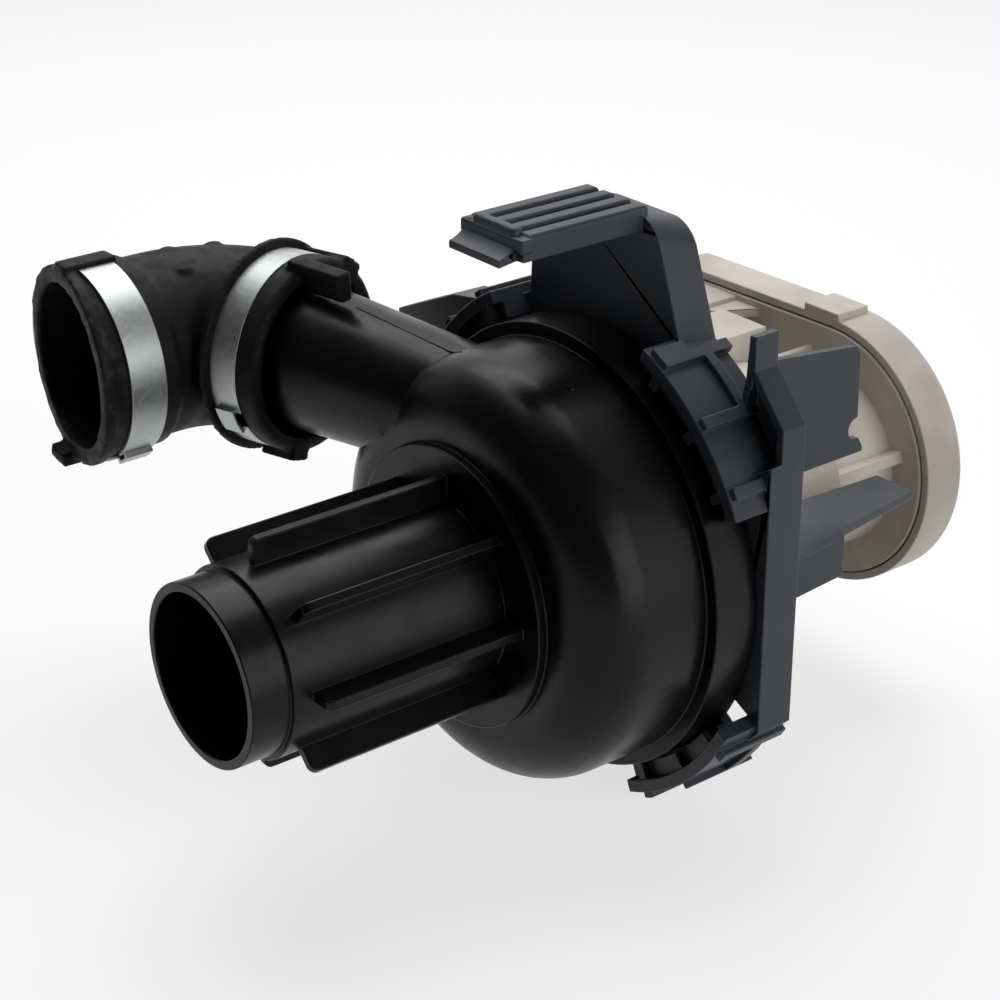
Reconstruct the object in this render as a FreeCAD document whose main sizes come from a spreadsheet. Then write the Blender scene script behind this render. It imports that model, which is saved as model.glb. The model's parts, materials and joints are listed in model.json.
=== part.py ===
import FreeCAD, Part
import math
import os
import Sketcher

"""Dishwasher wash pump with its motor.

The pump's axis is +Y, from the middle of the inlet mouth towards the motor, and +Z is up.
The camera side of the pump is +X, and the outlet tube leaves to -X.
"""

V = FreeCAD.Vector
ORIGIN = V(0, 0, 0)
AXIS = V(0, 1, 0)
UP = V(0, 0, 1)
ALONG_AXIS = FreeCAD.Rotation(V(1, 0, 0), -90)

# Driving sizes in millimetres and degrees: name, value, meaning
SIZES = [
    ("spigot_radius", 22.0, "outside radius of the inlet spigot"),
    ("spigot_wall", 2.3, "wall of the inlet spigot"),
    ("spigot_step_at", 10.0, "plain length of the spigot, up to its step"),
    ("spigot_step", 1.2, "height of the step behind the plain length"),
    ("rib_start", 15.0, "front end of the long ribs"),
    ("rib_reach", 6.4, "height of the long ribs above the stepped spigot"),
    ("rib_thickness", 2.4, "thickness of the long ribs"),
    ("boss_front", 68.5, "front face of the raised disc that the ribs run into"),
    ("boss_radius", 35.4, "radius of that disc"),
    ("boss_raise", 2.4, "height of that disc above the drum's front"),
    ("drum_radius", 53.5, "outside radius of the drum"),
    ("drum_corner", 15.5, "rounding between the drum's front and its side"),
    ("cover_wall", 2.5, "wall of the drum"),
    ("flange_front", 103.5, "front face of the cover's flange"),
    ("flange_length", 12.5, "length of the cover's flange along the axis"),
    ("flange_step", 3.5, "height of the cover's flange above the drum"),
    ("neck_end", 84.0, "rear end of the neck inside the drum"),
    ("neck_radius", 26.5, "outside radius of that neck"),
    ("ring_seat_at", 80.0, "front of the wear ring's seat in the neck"),
    ("ring_seat_radius", 22.5, "radius of that seat"),
    ("outlet_at", 92.5, "where the outlet's axis crosses the plane of the pump's axis"),
    ("outlet_height", 34.0, "height of the outlet's axis above the pump's axis"),
    ("outlet_lean", 10.0, "lean of the outlet towards the front"),
    ("outlet_start", 5.0, "inner end of the outlet cone"),
    ("outlet_start_radius", 15.5, "outside radius of the outlet at its inner end"),
    ("outlet_end_radius", 19.2, "outside radius of the outlet at its stub"),
    ("outlet_wall", 2.4, "wall of the outlet"),
    ("stub_radius", 21.2, "outside radius of the stub that carries the elbow"),
    ("stub_length", 11.0, "length of that stub"),
    ("stub_inset", 3.5, "distance of the stub's inner end behind the end of the neck cuff"),
    ("neck_length", 14.3, "length of the elbow's straight neck, from its end to the bend"),
    ("neck_turn", 8.0, "turn of the neck cuff's outside about the vertical"),
    ("bead_length", 6.1, "length of the neck cuff's bead, from its end to its band"),
    ("bead_height", 0.9, "height of the beads above the bands' seats"),
    ("cuff_radius", 24.7, "radius of the neck cuff where its band sits"),
    ("band_width", 10.0, "width of the mouth's steel band"),
    ("neck_band_width", 8.2, "width of the neck's steel band"),
    ("band_wall", 0.9, "thickness of the steel bands"),
    ("cuff_ring_radius", 28.0, "radius of the ring behind the neck band"),
    ("cuff_ring_length", 2.1, "length of that ring"),
    ("elbow_radius", 23.7, "outside radius of the elbow's bend"),
    ("elbow_bore", 19.4, "inside radius of the elbow's bend"),
    ("elbow_bend", 24.2, "radius of the elbow's centre line"),
    ("mouth_across", 104.7, "distance of the elbow's mouth axis from the pump's axis"),
    ("mouth_front", 23.5, "front of the elbow's mouth on the side of the pump"),
    ("mouth_tilt", 8.0, "tilt of the mouth's face away from the pump"),
    ("mouth_bead", 3.2, "length of the bead at the mouth's face"),
    ("mouth_lip", 7.5, "length of the mouth in front of its band, on the side of the pump"),
    ("mouth_bore", 21.6, "inside radius of the mouth"),
    ("mouth_depth", 22.0, "depth of the mouth's bore"),
    ("mouth_radius", 25.2, "outside radius of the mouth where its band sits"),
    ("plate_thickness", 3.0, "thickness of the bracket's plate"),
    ("plate_margin", 5.5, "reach of the plate's round part beyond the cover's flange"),
    ("wall_margin", 2.4, "distance of the bracket's side walls outside the cover's flange"),
    ("wall_thickness", 2.2, "thickness of the bracket's walls and fins"),
    ("wall_depth", 10.5, "depth of the bracket's edge from the plate's front to the rear"),
    ("side_bottom", 33.5, "depth of the side walls below the axis"),
    ("side_top", 47.0, "height of the side walls above the axis"),
    ("side_chamfer", 3.0, "chamfer at the lower end of the side walls"),
    ("finger_at", 47.3, "distance of the upright finger from the pump's axis"),
    ("finger_spread", 1.6, "widening of the finger's lower end towards the pump's axis"),
    ("finger_top", 66.6, "height of the upright finger above the pump's axis"),
    ("finger_foot", 53.4, "height of the upright finger's lower end above the pump's axis"),
    ("shoulder_top", 58.4, "height of the slanted shoulder at the finger's foot"),
    ("tower_top", 87.0, "height of the top arm above the pump's axis"),
    ("tower_right", 17.7, "right top corner of the tower"),
    ("tower_left", 12.5, "left top corner of the tower"),
    ("tower_foot", 27.7, "right side of the tower's foot"),
    ("tower_corner", 9.0, "rounding of the tower's top corners"),
    ("tower_drop", 2.5, "drop of the tower's top from its front to its rear edge"),
    ("tower_lean", 1.7, "lean of the tower's sides to the right, from its front to its rear edge"),
    ("arm_front", 75.8, "front end of the top arm's tongue"),
    ("tongue_length", 5.2, "length of the tongue in front of the arm"),
    ("tongue_hollow", 0.6, "depth of the hollow in the tongue's top"),
    ("tongue_inset_left", 0.8, "distance of the tongue's left side inside the arm's"),
    ("tongue_inset_right", 2.2, "distance of the tongue's right side inside the arm's"),
    ("tongue_drop", 3.2, "drop of the tongue's tip below the arm's top"),
    ("tongue_tip", 1.8, "thickness of the tongue's tip"),
    ("arm_thickness", 4.3, "thickness of the top arm"),
    ("arm_left", 7.6, "left side of the top arm"),
    ("arm_right", 14.0, "right side of the top arm"),
    ("bar_height", 3.0, "height of the cross bar on the arm's front"),
    ("bar_depth", 3.2, "depth of that cross bar along the arm"),
    ("bar_inset", 3.0, "distance of the cross bar's ends inside the arm's sides"),
    ("lip_height", 1.2, "height of the wide lip under the cross bar"),
    ("lip_margin", 0.6, "reach of that lip beyond the arm's sides"),
    ("ridge_height", 1.9, "height of the ridges on the top arm"),
    ("ridge_width", 4.2, "width of those ridges"),
    ("ridge_round", 1.3, "rounding of the ridges and of the cross bar"),
    ("clip_gap", 0.6, "gap between the cover's flange and the clips"),
    ("clip_setback", 2.8, "distance of the clips' front behind the flange's front"),
    ("clip_pocket", 4.3, "radial width of the pockets between a clip's ribs"),
    ("pocket_depth", 3.0, "depth of those pockets"),
    ("clip_wall", 3.3, "outer wall of the clips"),
    ("clip_half_span", 20.5, "half of the angle that a clip covers"),
    ("clip_rib", 1.7, "height of the ribs and the rail on the clips"),
    ("rail_width", 2.8, "width of that rail"),
    ("rib_angle", 2.6, "angle that a rib of a clip covers"),
    ("lock_reach", 2.4, "reach of the locking lugs beyond the cover's flange"),
    ("lock_front", 111.3, "front face of the locking lugs"),
    ("lock_thickness", 2.0, "thickness of the locking lugs"),
    ("lock_half_span", 10.0, "half of the angle that a locking lug covers"),
    ("lock_gap", 0.3, "gap round a locking lug in its slot"),
    ("slot_width", 3.2, "width of the relief slots in the clips"),
    ("fin_length", 38.5, "length of the upright fins behind the plate"),
    ("notch_radius", 2.8, "radius of the bite in the upright fins' rear edge"),
    ("skirt_length", 27.6, "length of the skirts under the shelf fins"),
    ("skirt_inset", 6.0, "distance of those skirts inside the shelf fins' outer side"),
    ("foot_length", 12.0, "length of the foot fins behind the plate"),
    ("shelf_length", 56.0, "length of the shelf fins behind the plate"),
    ("shelf_height", 12.6, "height of the shelf fins above the pump's axis"),
    ("ear_reach", 84.0, "distance of the fixing ear's end from the pump's axis"),
    ("ear_hole_radius", 2.75, "radius of the hole in the fixing ear"),
    ("register_depth", 8.0, "depth of the bracket's register inside the cover"),
    ("register_wall", 5.4, "wall of the bracket's register"),
    ("seal_section", 1.3, "section radius of the cover's sealing ring"),
    ("seat_gap", 0.1, "gap of a located fit"),
    ("running_gap", 0.05, "gap of a running fit on the radius"),
    ("shaft_radius", 4.0, "radius of the shaft"),
    ("shaft_front", 84.5, "front end of the shaft"),
    ("shaft_rear", 176.0, "rear end of the shaft"),
    ("eye_radius", 18.0, "outside radius of the impeller's eye skirt"),
    ("eye_gap", 0.4, "gap between the eye skirt and the wear ring"),
    ("eye_wall", 1.6, "wall of the eye skirt"),
    ("impeller_radius", 40.0, "outside radius of the impeller"),
    ("impeller_front", 91.5, "front face of the impeller's shroud"),
    ("impeller_disc", 2.0, "thickness of the impeller's two discs"),
    ("vane_height", 8.0, "height of the vanes between the two discs"),
    ("vane_thickness", 1.8, "thickness of the vanes"),
    ("impeller_hub_radius", 8.0, "radius of the impeller's hub"),
    ("nut_flats", 6.5, "half of the width of the impeller nut across its corners"),
    ("bush_radius", 6.0, "outside radius of the two bushings"),
    ("bush_length", 8.6, "length of the two bushings"),
    ("washer_radius", 7.0, "radius of the thrust washers"),
    ("washer_gap", 0.4, "end play between a thrust washer and its bushing"),
    ("carrier_radius", 30.5, "radius of the bearing carrier"),
    ("carrier_front", 108.0, "front face of the bearing carrier"),
    ("carrier_thickness", 4.0, "thickness of the bearing carrier"),
    ("carrier_tube", 8.5, "outside radius of the tube that holds the front bushing"),
    ("can_flange_radius", 24.0, "radius of the rotor can's flange"),
    ("can_flange", 1.2, "thickness of the rotor can's flange"),
    ("can_radius", 15.3, "outside radius of the rotor can"),
    ("can_wall", 0.8, "wall of the rotor can"),
    ("can_end", 171.0, "rear end of the can's wide part"),
    ("can_cup_end", 178.4, "rear end of the can's bearing cup"),
    ("can_cup_radius", 9.4, "outside radius of that cup"),
    ("can_seal_section", 0.95, "section radius of the can's sealing ring"),
    ("can_seal_radius", 20.0, "radius of the can's sealing ring"),
    ("rotor_radius", 13.8, "outside radius of the rotor magnet"),
    ("core_radius", 10.5, "outside radius of the rotor core"),
    ("core_front", 124.0, "front face of the rotor core and of the stator"),
    ("core_length", 38.0, "length of the rotor core and of the stator"),
    ("end_disc", 2.5, "thickness of the rotor's end discs"),
    ("stator_radius", 28.0, "outside radius of the stator core"),
    ("stator_bore", 15.6, "radius of the stator's bore"),
    ("yoke_wall", 3.2, "thickness of the stator's outer ring"),
    ("tooth_width", 8.0, "width of a stator tooth"),
    ("shoe_depth", 2.0, "depth of the pole shoes"),
    ("shoe_half_span", 25.0, "half of the angle that a pole shoe covers"),
    ("bobbin_wall", 0.7, "wall of the insulating bobbins"),
    ("coil_wall", 2.9, "thickness of the windings"),
    ("barrel_wall", 2.4, "wall of the motor housing's barrel"),
    ("barrel_end", 171.5, "rear end of the motor housing's wide barrel"),
    ("tail_radius", 25.0, "outside radius of the housing's narrow tail behind that barrel"),
    ("tail_rib", 4.0, "height of the long ribs on that tail"),
    ("hood_front", 140.0, "front end of the terminal hood on the barrel"),
    ("hood_rear", 181.8, "rear end of the terminal hood"),
    ("hood_left", 27.0, "left side of the terminal hood"),
    ("hood_right", 10.2, "right side of the terminal hood, also to the left of the axis"),
    ("hood_top", 36.0, "height of the terminal hood above the pump's axis"),
    ("socket_block", 36.0, "right side of the block round the connector socket, left of the axis"),
    ("socket_corner", 5.0, "rounding of that block's front corner"),
    ("ledge_length", 11.2, "length of the ledge that stands on the housing's rear flange over the lobe"),
    ("ledge_drop", 1.2, "distance of the ledge's top below the flange's edge"),
    ("lug_radius", 5.0, "radius of the motor housing's lugs"),
    ("lug_circle", 36.0, "radius of the circle that the lugs stand on"),
    ("lug_length", 4.0, "thickness of the motor housing's lugs"),
    ("motor_screw_radius", 1.8, "radius of the motor screws"),
    ("cap_front", 195.8, "front edge of the end cap"),
    ("cap_length", 13.2, "length of the end cap"),
    ("cap_radius", 37.1, "radius of the end cap's round part"),
    ("cap_lift", 0.6, "height of the centre of that round part above the pump's axis"),
    ("cap_slope", 1.2, "drop of the end cap's top towards the end of its lobe"),
    ("cap_reach", 66.0, "distance of the end cap's lobe from the pump's axis"),
    ("cap_drop", 9.0, "depth of the lobe's lower corner below the centre of the round part"),
    ("cap_corner", 6.0, "rounding of the lobe's corners"),
    ("cap_wall", 2.2, "wall of the end cap"),
    ("latch_height", 1.8, "height of the latch block on the end cap"),
    ("cap_screw_radius", 1.3, "radius of the cap screws"),
    ("board_at", 201.0, "front face of the circuit board"),
    ("board_thickness", 1.6, "thickness of the circuit board"),
    ("socket_depth", 20.0, "depth of the connector socket"),
    ("socket_width", 15.0, "inside width of the connector socket"),
    ("socket_height", 18.0, "inside height of the connector socket"),
    ("pin_size", 0.8, "thickness of the terminal pins"),
]

RIB_COUNT = 8
CLIP_ANGLES = (46, 139, 227, 313)
CLIP_RIBS = (-15, 0, 15)
RIDGE_COUNT = 4
VANE_COUNT = 6
TOOTH_COUNT = 6
PIN_COUNT = 4
LUG_ANGLES = (45, 135, 225, 315)
HOUSING_RIB_ANGLES = (16, 106, 196, 286)
CARRIER_SCREW_ANGLES = (30, 150, 270)

doc = FreeCAD.newDocument("wash_pump")
sheet = doc.addObject("Spreadsheet::Sheet", "sizes")
for row, (alias, number, meaning) in enumerate(SIZES, start=1):
    sheet.set("A%d" % row, alias)
    sheet.set("B%d" % row, str(number))
    sheet.setAlias("B%d" % row, alias)
    sheet.set("C%d" % row, meaning)
doc.recompute()


class Size:
    """A size that carries its number and the sheet expression that it comes from"""

    def __init__(self, number, text):
        self.number = float(number)
        self.text = text

    def __float__(self):
        return self.number

    def combine(self, other, sign, number, flip=False):
        left, right = text_of(self), text_of(other)
        if flip:
            left, right = right, left
        return Size(number, "(%s %s %s)" % (left, sign, right))

    def __add__(self, other):
        return self.combine(other, "+", self.number + float(other))

    __radd__ = __add__

    def __sub__(self, other):
        return self.combine(other, "-", self.number - float(other))

    def __rsub__(self, other):
        return self.combine(other, "-", float(other) - self.number, flip=True)

    def __mul__(self, other):
        return self.combine(other, "*", self.number * float(other))

    __rmul__ = __mul__

    def __truediv__(self, other):
        return self.combine(other, "/", self.number / float(other))

    def __neg__(self):
        return self * -1


def text_of(value):
    """The sheet expression of a size, or a plain number as text"""
    return value.text if isinstance(value, Size) else repr(float(value))


class Sizes:
    """All the driving sizes, read back from the sheet by name"""


d = Sizes()
for alias, number, meaning in SIZES:
    setattr(d, alias, Size(sheet.get(alias), "sizes." + alias))

nodes = []


def polar(radius, angle, y=0.0):
    """A point at a radius and an angle round the pump's axis, 0 at +X and 90 at +Z"""
    turn = math.radians(angle)
    return V(float(radius) * math.cos(turn), float(y), float(radius) * math.sin(turn))


def bind(obj, prop, value):
    """Tie a property to the sheet"""
    obj.setExpression(prop, text_of(value))


def new_body(node):
    """An empty body whose label is the node's name"""
    body = doc.addObject("PartDesign::Body", node + "_body")
    body.Label = node
    nodes.append(body)
    return body


def new_sketch(body, name, role="XY_Plane", turn=0.0):
    """A sketch on an origin plane, turned about the pump's axis"""
    plane = [feature for feature in body.Origin.OriginFeatures if feature.Role == role][0]
    sketch = body.newObject("Sketcher::SketchObject", name)
    sketch.AttachmentSupport = [(plane, "")]
    sketch.MapMode = "FlatFace"
    sketch.AttachmentOffset = FreeCAD.Placement(ORIGIN, FreeCAD.Rotation(AXIS, turn))
    return sketch


def pin_point(sketch, kind, geometry, point, value):
    """Fix one coordinate of a sketch point to the sheet"""
    if abs(float(value)) < 1e-9:
        reference = -2 if kind == "DistanceX" else -1
        sketch.addConstraint(Sketcher.Constraint("PointOnObject", geometry, point, reference))
        return
    constraint = Sketcher.Constraint(kind, -1, 1, geometry, point, float(value))
    index = sketch.addConstraint(constraint)
    sketch.setExpression("Constraints[%d]" % index, text_of(value))


def draw_loop(sketch, corners):
    """A closed outline through corners (across, along), all of them tied to the sheet.

    A corner with a third entry, the centre of an arc, leaves along that arc, counterclockwise.
    """
    first = sketch.GeometryCount
    count = len(corners)
    for place, corner in enumerate(corners):
        following = corners[(place + 1) % count]
        start = V(float(corner[0]), float(corner[1]), 0)
        end = V(float(following[0]), float(following[1]), 0)
        if len(corner) == 2:
            sketch.addGeometry(Part.LineSegment(start, end))
            continue
        centre = V(float(corner[2][0]), float(corner[2][1]), 0)
        circle = Part.Circle(centre, UP, (start - centre).Length)
        angles = [math.atan2(point.y - centre.y, point.x - centre.x) for point in (start, end)]
        sketch.addGeometry(Part.ArcOfCircle(circle, *angles))
    for place in range(count):
        joined = first + (place + 1) % count
        sketch.addConstraint(Sketcher.Constraint("Coincident", first + place, 2, joined, 1))
    for place, corner in enumerate(corners):
        pin_point(sketch, "DistanceX", first + place, 1, corner[0])
        pin_point(sketch, "DistanceY", first + place, 1, corner[1])
        if len(corner) == 3:
            pin_point(sketch, "DistanceX", first + place, 3, corner[2][0])


def revolve_loop(body, kind, name, corners):
    """Turn an outline of (radius, along) corners round the pump's axis"""
    sketch = new_sketch(body, name + "_outline")
    draw_loop(sketch, corners)
    turn = body.newObject("PartDesign::" + kind, name)
    turn.Profile = sketch
    turn.ReferenceAxis = (sketch, ["V_Axis"])
    turn.Angle = 360
    return turn


def turned(node, corners):
    """A body that is one outline turned round the pump's axis"""
    body = new_body(node)
    revolve_loop(body, "Revolution", node + "_turn", corners)
    return body


def ring(node, inner, outer, front, rear):
    """A plain ring or disc on the pump's axis"""
    return turned(node, [(inner, front), (outer, front), (outer, rear), (inner, rear)])


def seal_ring(node, radius, section, along):
    """A round sealing ring on the pump's axis"""
    torus = doc.addObject("Part::Torus", node + "_torus")
    torus.Label = node
    torus.Placement = FreeCAD.Placement(ORIGIN, ALONG_AXIS)
    bind(torus, "Radius1", radius)
    bind(torus, "Radius2", section)
    bind(torus, "Placement.Base.y", along)
    nodes.append(torus)
    return torus


def moulded(node, shape):
    """A piece whose shape is worked out from the sizes"""
    feature = doc.addObject("Part::Feature", node + "_shape")
    feature.Label = node
    feature.Shape = shape
    nodes.append(feature)
    return feature


def rod(radius, front, rear, x=0.0, z=0.0):
    """A cylinder along Y"""
    return Part.makeCylinder(float(radius), float(rear) - float(front), V(float(x), float(front), float(z)), AXIS)


def tube(inner, outer, front, rear):
    """A tube on the pump's axis"""
    return rod(outer, front, rear).cut(rod(inner, front, rear))


def box(low, high):
    """A box from its lowest corner to its highest"""
    low = V(*[float(value) for value in low])
    high = V(*[float(value) for value in high])
    return Part.makeBox(high.x - low.x, high.y - low.y, high.z - low.z, low)


def slab(points, front, rear):
    """A flat piece with straight sides, given by (x, z) corners, between two places along Y"""
    corners = [V(float(x), float(front), float(z)) for x, z in points]
    face = Part.Face(Part.makePolygon(corners + corners[:1]))
    return face.extrude(V(0, float(rear) - float(front), 0))


def shelf(points, low, high):
    """A flat piece with straight sides, given by (x, y) corners, between two heights"""
    corners = [V(float(x), float(y), float(low)) for x, y in points]
    face = Part.Face(Part.makePolygon(corners + corners[:1]))
    return face.extrude(V(0, 0, float(high) - float(low)))


def sector(inner, outer, front, rear, start, sweep):
    """A piece of a tube round the pump's axis, from one angle over a sweep"""
    points = [V(float(inner), float(front), 0), V(float(outer), float(front), 0),
              V(float(outer), float(rear), 0), V(float(inner), float(rear), 0)]
    face = Part.Face(Part.makePolygon(points + points[:1]))
    face.rotate(ORIGIN, AXIS, -float(start))
    return face.revolve(ORIGIN, AXIS, -float(sweep))


def turned_copy(shape, angle):
    """A copy of a shape, turned round the pump's axis from +X towards +Z"""
    copy = shape.copy()
    copy.rotate(ORIGIN, AXIS, -angle)
    return copy


def mirrored(shape):
    """A shape's mirror image on the other side of the YZ plane"""
    return shape.mirror(ORIGIN, V(1, 0, 0))


def rounded(shape, radius, chosen):
    """A shape with the edges rounded that a test chooses"""
    return shape.makeFillet(float(radius), [edge for edge in shape.Edges if chosen(edge)])


def clean_fuse(pieces):
    """One solid out of several that overlap"""
    return pieces[0].fuse(pieces[1:]).removeSplitter()


# Places worked out from the driving sizes
flange_rear = d.flange_front + d.flange_length
flange_radius = d.drum_radius + d.flange_step
plate_radius = flange_radius + d.plate_margin
wall_across = flange_radius + d.wall_margin
drum_front = d.boss_front + d.boss_raise
spigot_bore = d.spigot_radius - d.spigot_wall
stepped_radius = d.spigot_radius + d.spigot_step
drum_bore = d.drum_radius - d.cover_wall
cavity_front = drum_front + d.cover_wall
plate_front = flange_rear
plate_rear = plate_front + d.plate_thickness
edge_rear = plate_front + d.wall_depth
register_front = plate_front - d.register_depth
register_radius = drum_bore - d.seat_gap
carrier_rear = d.carrier_front + d.carrier_thickness
hub_front = carrier_rear + d.can_flange
impeller_rear = d.impeller_front + d.vane_height + 2 * d.impeller_disc
bush_bore = d.shaft_radius + d.running_gap
front_bush_front = impeller_rear + 2.6
core_rear = d.core_front + d.core_length
rotor_rear = core_rear + d.end_disc
rear_washer_rear = rotor_rear + 2.0
rear_bush_front = rear_washer_rear + d.washer_gap
barrel_bore = d.stator_radius + d.running_gap
barrel_radius = barrel_bore + d.barrel_wall
cap_rear = d.cap_front + d.cap_length
lean = math.radians(d.outlet_lean)
outlet_way = V(-math.cos(lean), -math.sin(lean), 0)
elbow_turn = 90 - float(d.outlet_lean)
elbow_corner = d.mouth_across / math.cos(lean)
elbow_tangent = d.elbow_bend * math.tan(math.radians(elbow_turn / 2))
bend_start = elbow_corner - elbow_tangent
elbow_start = bend_start - d.neck_length
stub_start = elbow_start + d.stub_inset
stub_end = stub_start + d.stub_length


def outlet_point(distance):
    """A point on the outlet's axis, at a distance from where it crosses the pump's axis"""
    return V(0, float(d.outlet_at), float(d.outlet_height)) + outlet_way * float(distance)


def outlet_rod(radius, start, end):
    """A cylinder on the outlet's axis"""
    length = float(end) - float(start)
    return Part.makeCylinder(float(radius), length, outlet_point(start), outlet_way)


def outlet_cone(start_radius, end_radius, start, end):
    """A cone on the outlet's axis"""
    length = float(end) - float(start)
    return Part.makeCone(float(start_radius), float(end_radius), length, outlet_point(start), outlet_way)


def add_on_outlet(body, kind, name, start, end, radii):
    """A cone or cylinder feature on the outlet's axis"""
    feature = body.newObject("PartDesign::" + kind, name)
    plane = [item for item in body.Origin.OriginFeatures if item.Role == "XY_Plane"][0]
    feature.AttachmentSupport = [(plane, "")]
    feature.MapMode = "FlatFace"
    feature.AttachmentOffset = FreeCAD.Placement(outlet_point(start), FreeCAD.Rotation(UP, outlet_way))
    bind(feature, "Height", end - start)
    across = "cos(sizes.outlet_lean * 1deg)"
    forward = "sin(sizes.outlet_lean * 1deg)"
    bind(feature, "AttachmentOffset.Base.x", Size(0, "-(%s) * %s" % (text_of(start), across)))
    bind(feature, "AttachmentOffset.Base.y",
         Size(0, "sizes.outlet_at - (%s) * %s" % (text_of(start), forward)))
    bind(feature, "AttachmentOffset.Base.z", d.outlet_height)
    for prop, radius in radii.items():
        bind(feature, prop, radius)
    return feature


def add_locking_lug(body, angle):
    """One lug on the rim of the cover's flange; the cavity is cut out of its inner end later"""
    lug = body.newObject("PartDesign::AdditiveCylinder", "locking_lug")
    plane = [item for item in body.Origin.OriginFeatures if item.Role == "XY_Plane"][0]
    lug.AttachmentSupport = [(plane, "")]
    lug.MapMode = "FlatFace"
    start = FreeCAD.Rotation(AXIS, -angle - float(d.lock_half_span))
    lug.AttachmentOffset = FreeCAD.Placement(V(0, float(d.lock_front), 0), start * ALONG_AXIS)
    bind(lug, "AttachmentOffset.Base.y", d.lock_front)
    bind(lug, "Radius", flange_radius + d.lock_reach)
    bind(lug, "Height", d.lock_thickness)
    bind(lug, "Angle", 2 * d.lock_half_span)


def make_pump_cover():
    """The volute: spigot, ribs, boss disc, drum, flange and outlet tube in one moulding"""
    body = new_body("pump_cover")
    corner_ring = d.drum_radius - d.drum_corner
    revolve_loop(body, "Revolution", "cover_outside", [
        (0, 0), (d.spigot_radius, 0), (d.spigot_radius, d.spigot_step_at),
        (stepped_radius, d.spigot_step_at), (stepped_radius, d.boss_front),
        (d.boss_radius, d.boss_front), (d.boss_radius, drum_front),
        (corner_ring, drum_front, (corner_ring, drum_front + d.drum_corner)),
        (d.drum_radius, drum_front + d.drum_corner), (d.drum_radius, d.flange_front),
        (flange_radius, d.flange_front), (flange_radius, flange_rear), (0, flange_rear)])
    sketch = new_sketch(body, "rib_outline")
    rib_top = stepped_radius + d.rib_reach
    rib_foot = spigot_bore + d.spigot_wall / 2
    rib_corner = d.rib_reach / 3
    draw_loop(sketch, [
        (rib_foot, d.rib_start), (rib_top - rib_corner, d.rib_start,
                                  (rib_top - rib_corner, d.rib_start + rib_corner)),
        (rib_top, d.rib_start + rib_corner), (rib_top, d.boss_front + d.boss_raise / 2),
        (rib_foot, d.boss_front + d.boss_raise / 2)])
    rib = body.newObject("PartDesign::Pad", "cover_rib")
    rib.Profile = sketch
    rib.Midplane = True
    bind(rib, "Length", d.rib_thickness)
    doc.recompute()
    ribs = body.newObject("PartDesign::PolarPattern", "cover_ribs")
    ribs.Originals = [rib]
    ribs.Axis = ([item for item in body.Origin.OriginFeatures if item.Role == "Y_Axis"][0], [""])
    ribs.Angle = 360
    ribs.Occurrences = RIB_COUNT
    body.Tip = ribs
    add_on_outlet(body, "AdditiveCone", "outlet_outside", d.outlet_start, stub_start,
                  {"Radius1": d.outlet_start_radius, "Radius2": d.outlet_end_radius})
    add_on_outlet(body, "AdditiveCylinder", "outlet_stub", stub_start, stub_end,
                  {"Radius": d.stub_radius})
    for angle in CLIP_ANGLES:
        add_locking_lug(body, angle)
    cavity_corner = d.drum_corner - d.cover_wall
    cavity_ring = drum_bore - cavity_corner
    revolve_loop(body, "Groove", "cover_cavity", [
        (0, 0), (spigot_bore, 0), (spigot_bore, d.ring_seat_at),
        (d.ring_seat_radius, d.ring_seat_at), (d.ring_seat_radius, d.neck_end),
        (d.neck_radius, d.neck_end), (d.neck_radius, cavity_front),
        (cavity_ring, cavity_front, (cavity_ring, cavity_front + cavity_corner)),
        (drum_bore, cavity_front + cavity_corner), (drum_bore, flange_rear), (0, flange_rear)])
    add_on_outlet(body, "SubtractiveCone", "outlet_bore", 2 * d.outlet_start, stub_start,
                  {"Radius1": d.outlet_start_radius - d.outlet_wall,
                   "Radius2": d.outlet_end_radius - d.outlet_wall})
    add_on_outlet(body, "SubtractiveCylinder", "stub_bore", stub_start, stub_end,
                  {"Radius": d.outlet_end_radius - d.outlet_wall})
    doc.recompute()


def on_outlet(shape):
    """Move a shape from the pump's axis to the outlet's axis; angle 0 becomes the rear, 90 stays up"""
    place = FreeCAD.Placement(outlet_point(0), FreeCAD.Rotation(UP, 90 + float(d.outlet_lean)))
    moved = shape.copy()
    moved.transformShape(place.toMatrix(), True)
    return moved


def on_mouth(shape):
    """Move a shape from the pump's axis to the axis of the elbow's mouth"""
    moved = shape.copy()
    moved.translate(V(-float(d.mouth_across), 0, float(d.outlet_height)))
    return moved


# Places on the rubber elbow
neck_band_start = elbow_start + d.bead_length + d.seat_gap
neck_band_end = neck_band_start + d.neck_band_width
neck_ring_end = neck_band_end + d.cuff_ring_length
mouth_band_start = d.mouth_front + d.mouth_lip
mouth_band_end = mouth_band_start + d.band_width
neck_band_outside = d.cuff_radius + d.band_wall
mouth_band_outside = d.mouth_radius + d.band_wall
neck_bead_radius = d.cuff_radius + d.bead_height
mouth_bead_radius = d.mouth_radius + d.bead_height
mouth_slope = math.tan(math.radians(d.mouth_tilt))
mouth_middle = d.mouth_front + mouth_bead_radius * mouth_slope
bend_end = outlet_point(elbow_corner).y - float(elbow_tangent)
bend_centre = outlet_point(bend_start) + UP.cross(outlet_way) * float(d.elbow_bend)
nub_places = ((67, 3.1), (43, 6.5), (66, -8.6))
nub_radius = 2.0
nub_height = 0.5


def elbow_bend_piece(radius):
    """The curved part of the elbow, as a solid bar"""
    circle = Part.Circle(outlet_point(bend_start), outlet_way, float(radius))
    disc = Part.Face(Part.Wire(circle.toShape()))
    return disc.revolve(bend_centre, UP, elbow_turn)


def mouth_slice(front, rear):
    """The space between two planes along the tilted face of the mouth, before it is moved there"""
    size = 2 * d.mouth_across
    room = box((-size, mouth_middle + front, -size), (size, mouth_middle + rear, size))
    room.rotate(V(0, float(mouth_middle), 0), UP, -float(d.mouth_tilt))
    return room


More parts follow.
